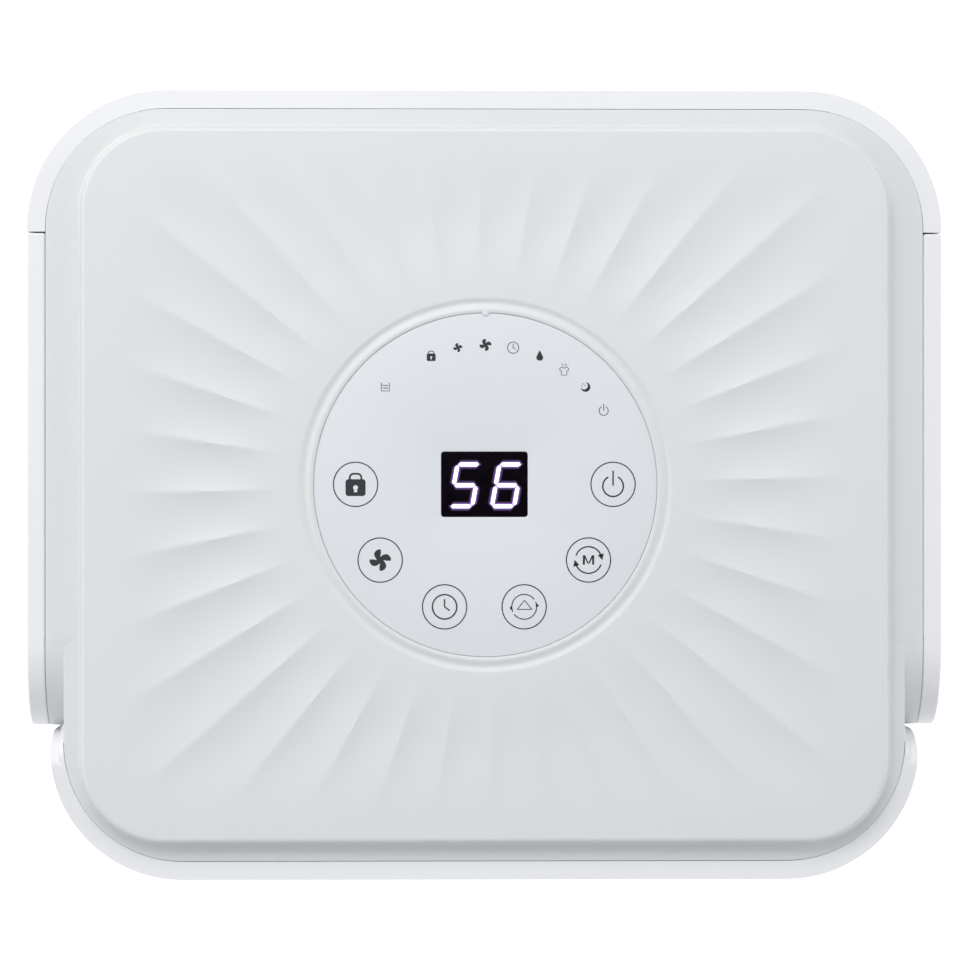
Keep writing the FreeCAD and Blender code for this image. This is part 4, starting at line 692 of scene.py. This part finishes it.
def arc(x, y, radius, start, end, steps=24):
    """Points along an arc, angles in degrees."""
    return [
        (x + radius * math.cos(math.radians(start + (end - start) * k / steps)),
         y + radius * math.sin(math.radians(start + (end - start) * k / steps)))
        for k in range(steps + 1)
    ]


def loop_circle(x, y, radius, steps):
    """A closed circle of points."""
    return arc(x, y, radius, 0, 360, steps)[:-1]


class Prints:
    """All the marks of one ink, gathered as one thin mesh."""

    def __init__(self, low, thick, shift=(0, 0)):
        self.low = low
        self.high = low + thick
        self.shift = shift
        self.points = []
        self.faces = []

    def strip(self, left, right, closed=False):
        """A ribbon between two lines of points."""
        count = len(left)
        base = len(self.points)
        for line, height in ((left, self.high), (right, self.high), (left, self.low), (right, self.low)):
            self.points += [(x, y, height) for x, y in line]
        ends = count if closed else count - 1
        for k in range(ends):
            a, b = base + k, base + (k + 1) % count
            self.faces.append((a, b, b + count, a + count))
            self.faces.append((a + 2 * count, a + 3 * count, b + 3 * count, b + 2 * count))
            self.faces.append((a, a + 2 * count, b + 2 * count, b))
            self.faces.append((a + count, b + count, b + 3 * count, a + 3 * count))
        if not closed:
            for k in (0, count - 1):
                a = base + k
                self.faces.append((a, a + count, a + 3 * count, a + 2 * count))

    def line(self, points, width, closed=False):
        """A stroke of even width through points."""
        spots = [Vector(p) for p in points]
        count = len(spots)
        left, right = [], []
        for i, here in enumerate(spots):
            before = spots[i - 1] if i or closed else here
            after = spots[(i + 1) % count] if i < count - 1 or closed else here
            way = (after - before).normalized()
            side = Vector((-way.y, way.x)) * width / 2
            left.append(tuple(here + side))
            right.append(tuple(here - side))
        self.strip(left, right, closed)

    def ring(self, x, y, radius, width):
        """A thin full circle."""
        inner, outer = radius - width / 2, radius + width / 2
        self.strip(loop_circle(x, y, inner, 72), loop_circle(x, y, outer, 72), True)

    def blob(self, outline):
        """A filled shape that is convex enough to fan from its middle."""
        count = len(outline)
        base = len(self.points)
        middle = (sum(p[0] for p in outline) / count, sum(p[1] for p in outline) / count)
        for height in (self.high, self.low):
            self.points += [(x, y, height) for x, y in outline] + [(*middle, height)]
        for k in range(count):
            a, b = base + k, base + (k + 1) % count
            self.faces.append((a, b, base + count))
            self.faces.append((a + count + 1, base + 2 * count + 1, b + count + 1))
            self.faces.append((a, a + count + 1, b + count + 1, b))

    def finish(self, name, finish):
        """The marks as one piece of the casing."""
        shift_x, shift_y = self.shift
        points = [(x + shift_x, y + shift_y, z) for x, y, z in self.points]
        add_piece(name, mesh_from(name, points, self.faces), finish, "casing")


def around(radius, angle):
    """A point at an angle in degrees from the right, counted anticlockwise."""
    return radius * math.cos(math.radians(angle)), radius * math.sin(math.radians(angle))


def draw_padlock(marks, x, y, scale):
    """A closed padlock with its keyhole left clear."""
    middle = y - 0.55 * scale
    angles = np.radians(np.arange(0, 360, 5))
    half_x, half_y, corner = 1.66 * scale, 1.4 * scale, 0.45 * scale
    body = path([(half_x, -half_y, corner), (half_x, half_y, corner), (-half_x, half_y, corner),
                 (-half_x, -half_y, corner)], 6)
    outer, inner = reach(body, angles), scale * np.where(np.sin(angles) < -0.90, 0.78, 0.42)
    marks.strip([(x + r * math.cos(a), middle + r * math.sin(a)) for r, a in zip(inner, angles)],
                [(x + r * math.cos(a), middle + r * math.sin(a)) for r, a in zip(outer, angles)], True)
    half = 0.97 * scale
    hoop = path([(x + half, y + 0.8 * scale, 0), (x + half, y + 1.76 * scale, 0.65 * scale),
                 (x - half, y + 1.76 * scale, 0.65 * scale), (x - half, y + 0.8 * scale, 0)], 8)
    marks.line([tuple(spot) for spot in hoop], 0.30 * scale)


def draw_fan(marks, x, y, scale):
    """Four broad swept blades that meet in the middle."""
    blade = (
        (0, 0), (0, 0.6), (0.13, 1.2), (0.12, 1.95), (-0.3, 2.0),
        (-0.8, 1.75), (-1.12, 1.25), (-1.05, 0.7), (-0.6, 0),
    )
    for quarter in range(4):
        turn = math.radians(90 * quarter)
        marks.blob([(x + scale * (px * math.cos(turn) - py * math.sin(turn)),
                     y + scale * (px * math.sin(turn) + py * math.cos(turn))) for px, py in blade])


def draw_clock(marks, x, y, scale, stroke):
    """A round face with two hands."""
    marks.ring(x, y, 3.0 * scale, stroke)
    marks.line([(x, y + 1.9 * scale), (x, y), (x + 1.2 * scale, y - 0.9 * scale)], stroke)


def draw_power(marks, x, y, scale, stroke):
    """A broken circle with an upright bar through its gap."""
    middle = y - 0.45 * scale
    marks.line(arc(x, middle, 2.5 * scale, 118, 422, 40), stroke)
    marks.line([(x, middle + 0.15 * scale), (x, middle + 3.75 * scale)], stroke)


def draw_arrow(marks, tip, angle, length):
    """A small filled arrow head pointing at an angle in degrees."""
    way = Vector(around(length, angle))
    side = Vector((-way.y, way.x)) * 0.5
    end = Vector(tip)
    marks.blob([tuple(end + way * 0.6), tuple(end - way * 0.4 + side), tuple(end - way * 0.4 - side)])


def draw_cycle(marks, x, y, radius, stroke, starts, sweep, arrow):
    """Two arrows going round, each from a start angle and through a signed sweep."""
    for start in starts:
        line = arc(x, y, radius, start, start + sweep, 24)
        marks.line(line, stroke)
        draw_arrow(marks, line[-1], start + sweep + math.copysign(90, sweep), arrow)


def draw_buttons():
    """The six ringed touch areas and their signs."""
    thick = Prints(DISC_TOP, PRINT, PRINT_SHIFT)
    thin = Prints(DISC_TOP, PRINT, PRINT_SHIFT)
    for angle in (0, 180, 216, 252, 288, 324):
        thick.ring(*around(BUTTON_CIRCLE, angle), BUTTON_RADIUS, 0.33 * MM)
    draw_padlock(thick, *around(BUTTON_CIRCLE, 180), 1.80 * MM)
    draw_fan(thick, *around(BUTTON_CIRCLE, 216), 1.62 * MM)
    draw_clock(thick, *around(BUTTON_CIRCLE, 252), 1.22 * MM, 0.42 * MM)
    x, y = around(BUTTON_CIRCLE, 288)
    barb_corners = ((3.68 * MM, 166), (4.45 * MM, 147), (3.68 * MM, 138))
    for start in (37, 217):
        thick.line(arc(x, y, 3.74 * MM, start, start + 166), 0.30 * MM)
        barb = [around(radius, start + turn) for radius, turn in barb_corners]
        thick.blob([(x + px, y + py) for px, py in barb])
    triangle = [(x - 2.1 * MM, y - 0.78 * MM), (x + 2.3 * MM, y - 0.78 * MM), (x + 0.1 * MM, y + 1.95 * MM)]
    for first, second in zip(triangle, triangle[1:] + triangle[:1]):
        thin.line([first, second], 0.26 * MM)
    x, y = around(BUTTON_CIRCLE, 324)
    draw_cycle(thick, x, y, 4.0 * MM, 0.40 * MM, (160, 340), -145, 1.9 * MM)
    draw_letter(thick, x, y, 1.4 * MM, 0.62 * MM)
    draw_power(thick, *around(BUTTON_CIRCLE, 0), 1.24 * MM, 0.44 * MM)
    thick.finish("button_prints", dark_ink)
    thin.finish("button_fine_prints", thin_ink)


def draw_letter(marks, x, y, half, stroke):
    """A bold capital M for the modes."""
    for side in (-1, 1):
        marks.line([(x + side * half, y - half), (x + side * half, y + half)], stroke)
        edge = half + stroke * 0.2
        marks.blob([(x + side * edge, y + half), (x + side * (half - stroke * 0.6), y + half),
                    (x - side * stroke * 0.2, y - half * 0.75), (x + side * stroke * 0.5, y - half * 0.75)])


def draw_signs():
    """The small signs round the rear of the panel."""
    thick = Prints(DISC_TOP, PRINT)
    thin = Prints(DISC_TOP, PRINT)
    x, y = around(SIGN_CIRCLE, 135.6)
    cup = [(x - 1.2 * MM, y + 1.3 * MM), (x - 1.2 * MM, y - 1.2 * MM), (x + 1.2 * MM, y - 1.2 * MM),
           (x + 1.2 * MM, y + 1.3 * MM)]
    thin.line(cup, 0.26 * MM)
    for lift in (-0.35, 0.45):
        wave = [(x + (-0.8 + 0.2 * k) * MM, y + (lift + 0.16 * math.sin(1.6 * k)) * MM) for k in range(9)]
        thin.line(wave, 0.2 * MM)
    draw_padlock(thick, *around(SIGN_CIRCLE, 112.8), 0.80 * MM)
    draw_fan(thick, *around(SIGN_CIRCLE, 101.4), 0.68 * MM)
    draw_fan(thick, *around(SIGN_CIRCLE, 90), 0.90 * MM)
    draw_clock(thin, *around(SIGN_CIRCLE, 78.6), 0.56 * MM, 0.24 * MM)
    x, y = around(SIGN_CIRCLE, 67.2)
    drop = arc(x, y - 0.4 * MM, 1.05 * MM, 180, 360, 16) + [(x + 0.5 * MM, y + 0.75 * MM), (x, y + 1.7 * MM),
                                                            (x - 0.5 * MM, y + 0.75 * MM)]
    thick.blob(drop)
    x, y = around(SIGN_CIRCLE, 55.8)
    shirt = (
        (-1.4, 0.2), (-0.7, 0.6), (0, 0.3), (0.7, 0.6), (1.4, 0.2), (1.2, -0.5),
        (0.8, -0.4), (0.8, -1.8), (-0.8, -1.8), (-0.8, -0.4), (-1.2, -0.5),
    )
    thin.line([(x + px * MM, y + py * MM) for px, py in shirt], 0.22 * MM, True)
    for shift in (-0.5, 0.5):
        steam = [(x + (shift + 0.18 * math.sin(k)) * MM, y + (0.85 + 0.14 * k) * MM) for k in range(7)]
        thin.line(steam, 0.18 * MM)
    x, y = around(SIGN_CIRCLE, 44.4)
    outer = arc(x, y, 1.45 * MM, 205, 430, 24)
    inner = arc(x - 0.42 * MM, y + 0.40 * MM, 1.12 * MM, 215, 420, 24)
    thick.strip(outer, inner)
    for dot_x, dot_y in ((-0.75, 0.95), (-0.2, 0.5), (-1.15, 0.35)):
        thin.blob(loop_circle(x + dot_x * MM, y + dot_y * MM, 0.17 * MM, 10))
    draw_power(thin, *around(SIGN_CIRCLE, 32.4), 0.55 * MM, 0.24 * MM)
    thick.finish("sign_prints", dark_ink)
    thin.finish("sign_fine_prints", thin_ink)


def seven_segments(marks, x, lit_names, grow):
    """One leaning figure made of the named segments of seven, each grown outwards."""
    rows = {"a": FIGURE_ROW, "g": 0.0, "d": -FIGURE_ROW}
    columns = {"f": (-1, 1), "b": (1, 1), "e": (-1, -1), "c": (1, -1)}
    half = SEGMENT / 2 + grow
    for name in lit_names:
        if name in rows:
            level = rows[name]
            end = FIGURE_COLUMN - SEGMENT_GAP + grow
            outline = [(-end, level), (-end + half, level + half), (end - half, level + half), (end, level),
                       (end - half, level - half), (-end + half, level - half)]
        else:
            side, up = columns[name]
            column = side * FIGURE_COLUMN
            first, last = sorted((up * SEGMENT_GAP, up * (FIGURE_ROW - SEGMENT_GAP)))
            first, last = first - grow, last + grow
            outline = [(column, first), (column + half, first + half), (column + half, last - half),
                       (column, last), (column - half, last - half), (column - half, first + half)]
        marks.blob([(x + px + py * FIGURE_LEAN, py + FIGURE_DROP) for px, py in outline])


def window_outline(inset):
    """The display window's outline."""
    right, left = WINDOW_X + PRINT_SHIFT[0] - inset, -WINDOW_X + PRINT_SHIFT[0] + inset
    rear, front = WINDOW_Y + PRINT_SHIFT[1] - inset, -WINDOW_Y + PRINT_SHIFT[1] + inset
    corner = 0.9 * MM - inset
    corners = [(right, front, corner), (right, rear, corner), (left, rear, corner), (left, front, corner)]
    return [tuple(spot) for spot in path(corners, 6)]


def make_touch_panel():
    """The disc with its key and window, the display lens, its figures and all the prints."""
    plate_low = TOP - PLATE_THICK
    key_outline = loop_circle(0, DISC_RADIUS + KEY_SHIFT, KEY_RADIUS, 40)
    key = plate("disc_key", key_outline, plate_low, TOP - 0.02 * MM, 0.15 * MM)
    add_casing_piece("disc_key", key, "touch_film", 34)
    disc_outline = loop_circle(0, 0, DISC_RADIUS, 720)
    disc = plate("touch_disc", disc_outline, plate_low, DISC_TOP, 0.22 * MM, window_outline(0))
    add_casing_piece("touch_disc", disc, "touch_film", 34, ("touch_panel",))
    lens_top = DISC_TOP - 0.06 * MM
    lens = plate("display_lens", window_outline(0.07 * MM), TOP - LENS_THICK, lens_top, 0.12 * MM)
    add_casing_piece("display_lens", lens, "display_black", 34, ("display_module",))
    draw_buttons()
    draw_signs()
    layers = [*halo_finishes, (0.0, segment_light)]
    for level, (grow, finish) in enumerate(layers):
        layer = Prints(lens_top + 0.01 * MM * level, 0.01 * MM, PRINT_SHIFT)
        for x, lit_names in FIGURE_PLACES:
            seven_segments(layer, x, lit_names, grow * MM)
        layer.finish(f"figures_{level}", finish)


# ---------------------------------------------------------------------------------------------
# Build
# ---------------------------------------------------------------------------------------------

for node, piece in nodes.items():
    for index in range(max(1, len(piece.data.materials))):
        if index < len(piece.material_slots):
            piece.material_slots[index].link = "OBJECT"
            piece.material_slots[index].material = finishes[slot_of[node]]
        else:
            piece.data.materials.append(finishes[slot_of[node]])

make_cover()
make_touch_panel()
SOFTENED = (
    ("rear_housing", "rear_shell", 0.7),
    ("side_panel_left", "side_wall_left", 0.7),
    ("side_panel_right", "side_wall_right", 0.7),
    ("front_panel", "front_shell", 0.7),
    ("tank_front", "tank_face", 0.8),
    ("base_pan", "floor_pan", 0.6),
    ("tank_handle", "tank_bail", 0.5),
    ("grip_cup_left", "grip_left", 0.6),
    ("grip_cup_right", "grip_right", 0.6),
    ("rubber_feet", "foot_pads", 1.2),
    ("drain_plug", "drain_stopper", 0.4),
)
for node, name, edge in SOFTENED:
    softened(node, name, edge * MM)


# ---------------------------------------------------------------------------------------------
# Floor, light and camera
# ---------------------------------------------------------------------------------------------


FLOOR_HALF = 9.0
WARM, COOL = (1.0, 0.995, 0.985), (0.95, 0.975, 1.0)
CAMERA_DISTANCE, FRAME_WIDTH = 1.35, 0.2907


def make_floor():
    """A wide pale floor."""
    finish = Finish("pale studio floor")
    cloud = finish.noise(1.5, 2)
    paint = finish.mix(cloud, (0.50, 0.50, 0.505, 1), (0.52, 0.52, 0.52, 1))
    glow = finish.mix(cloud, (0.98, 0.98, 0.985, 1), (1.0, 1.0, 1.0, 1))
    material = finish.surface(Base_Color=paint, Roughness=0.9, Emission_Color=glow, Emission_Strength=0.78)
    corners = [(x * FLOOR_HALF, y * FLOOR_HALF, 0) for x, y in ((-1, -1), (1, -1), (1, 1), (-1, 1))]
    mesh = mesh_from("floor", corners, [(0, 1, 2, 3)])
    floor = bpy.data.objects.new("floor", mesh)
    bpy.context.scene.collection.objects.link(floor)
    mesh.materials.append(material)


def add_light(name, place, target, width, height, power, colour):
    """A rectangular soft light aimed at a target."""
    data = bpy.data.lights.new(name, "AREA")
    data.shape = "RECTANGLE"
    data.size, data.size_y = width, height
    data.energy = power
    data.color = colour
    lamp = bpy.data.objects.new(name, data)
    bpy.context.scene.collection.objects.link(lamp)
    lamp.location = place
    lamp.rotation_euler = (Vector(target) - Vector(place)).to_track_quat("-Z", "Y").to_euler()


def make_light():
    """Softboxes at the rear and left, cooler fills at the right and front, and an even pale surround."""
    middle = (0, 0, TOP)
    add_light("rear_softbox", (-0.22, 0.86, TOP + 0.87), middle, 1.1, 0.65, 9.2, WARM)
    add_light("left_softbox", (-1.50, 0.18, TOP + 0.65), middle, 1.2, 0.8, 9.1, WARM)
    add_light("right_fill", (1.58, 0.1, TOP + 0.60), middle, 1.2, 0.8, 8.5, COOL)
    add_light("front_fill", (0.2, -1.6, TOP + 0.8), middle, 1.8, 1.0, 4.8, COOL)
    world = bpy.data.worlds.new("surround")
    bpy.context.scene.world = world
    world.use_nodes = True
    background = world.node_tree.nodes["Background"]
    background.inputs["Color"].default_value = (0.965, 0.98, 1.0, 1)
    background.inputs["Strength"].default_value = 0.39


def make_camera():
    """Straight above the cover, a little to the left of its middle."""
    data = bpy.data.cameras.new("camera")
    data.sensor_width = 36
    data.lens = data.sensor_width * CAMERA_DISTANCE / FRAME_WIDTH
    data.clip_end = 20
    camera = bpy.data.objects.new("camera", data)
    bpy.context.scene.collection.objects.link(camera)
    target = Vector((-0.45 * MM, 0.3 * MM, TOP))
    spot = Vector((-0.030, 0, TOP + CAMERA_DISTANCE))
    back = (spot - target).normalized()
    right = Vector((0, 1, 0)).cross(back).normalized()
    up = back.cross(right)
    turned = Matrix((right, up, back)).transposed().to_4x4()
    camera.matrix_world = Matrix.Translation(spot) @ turned
    bpy.context.scene.camera = camera


make_floor()
make_light()
make_camera()
bpy.context.scene.view_settings.view_transform = "Standard"
bpy.context.scene.view_settings.look = "None"
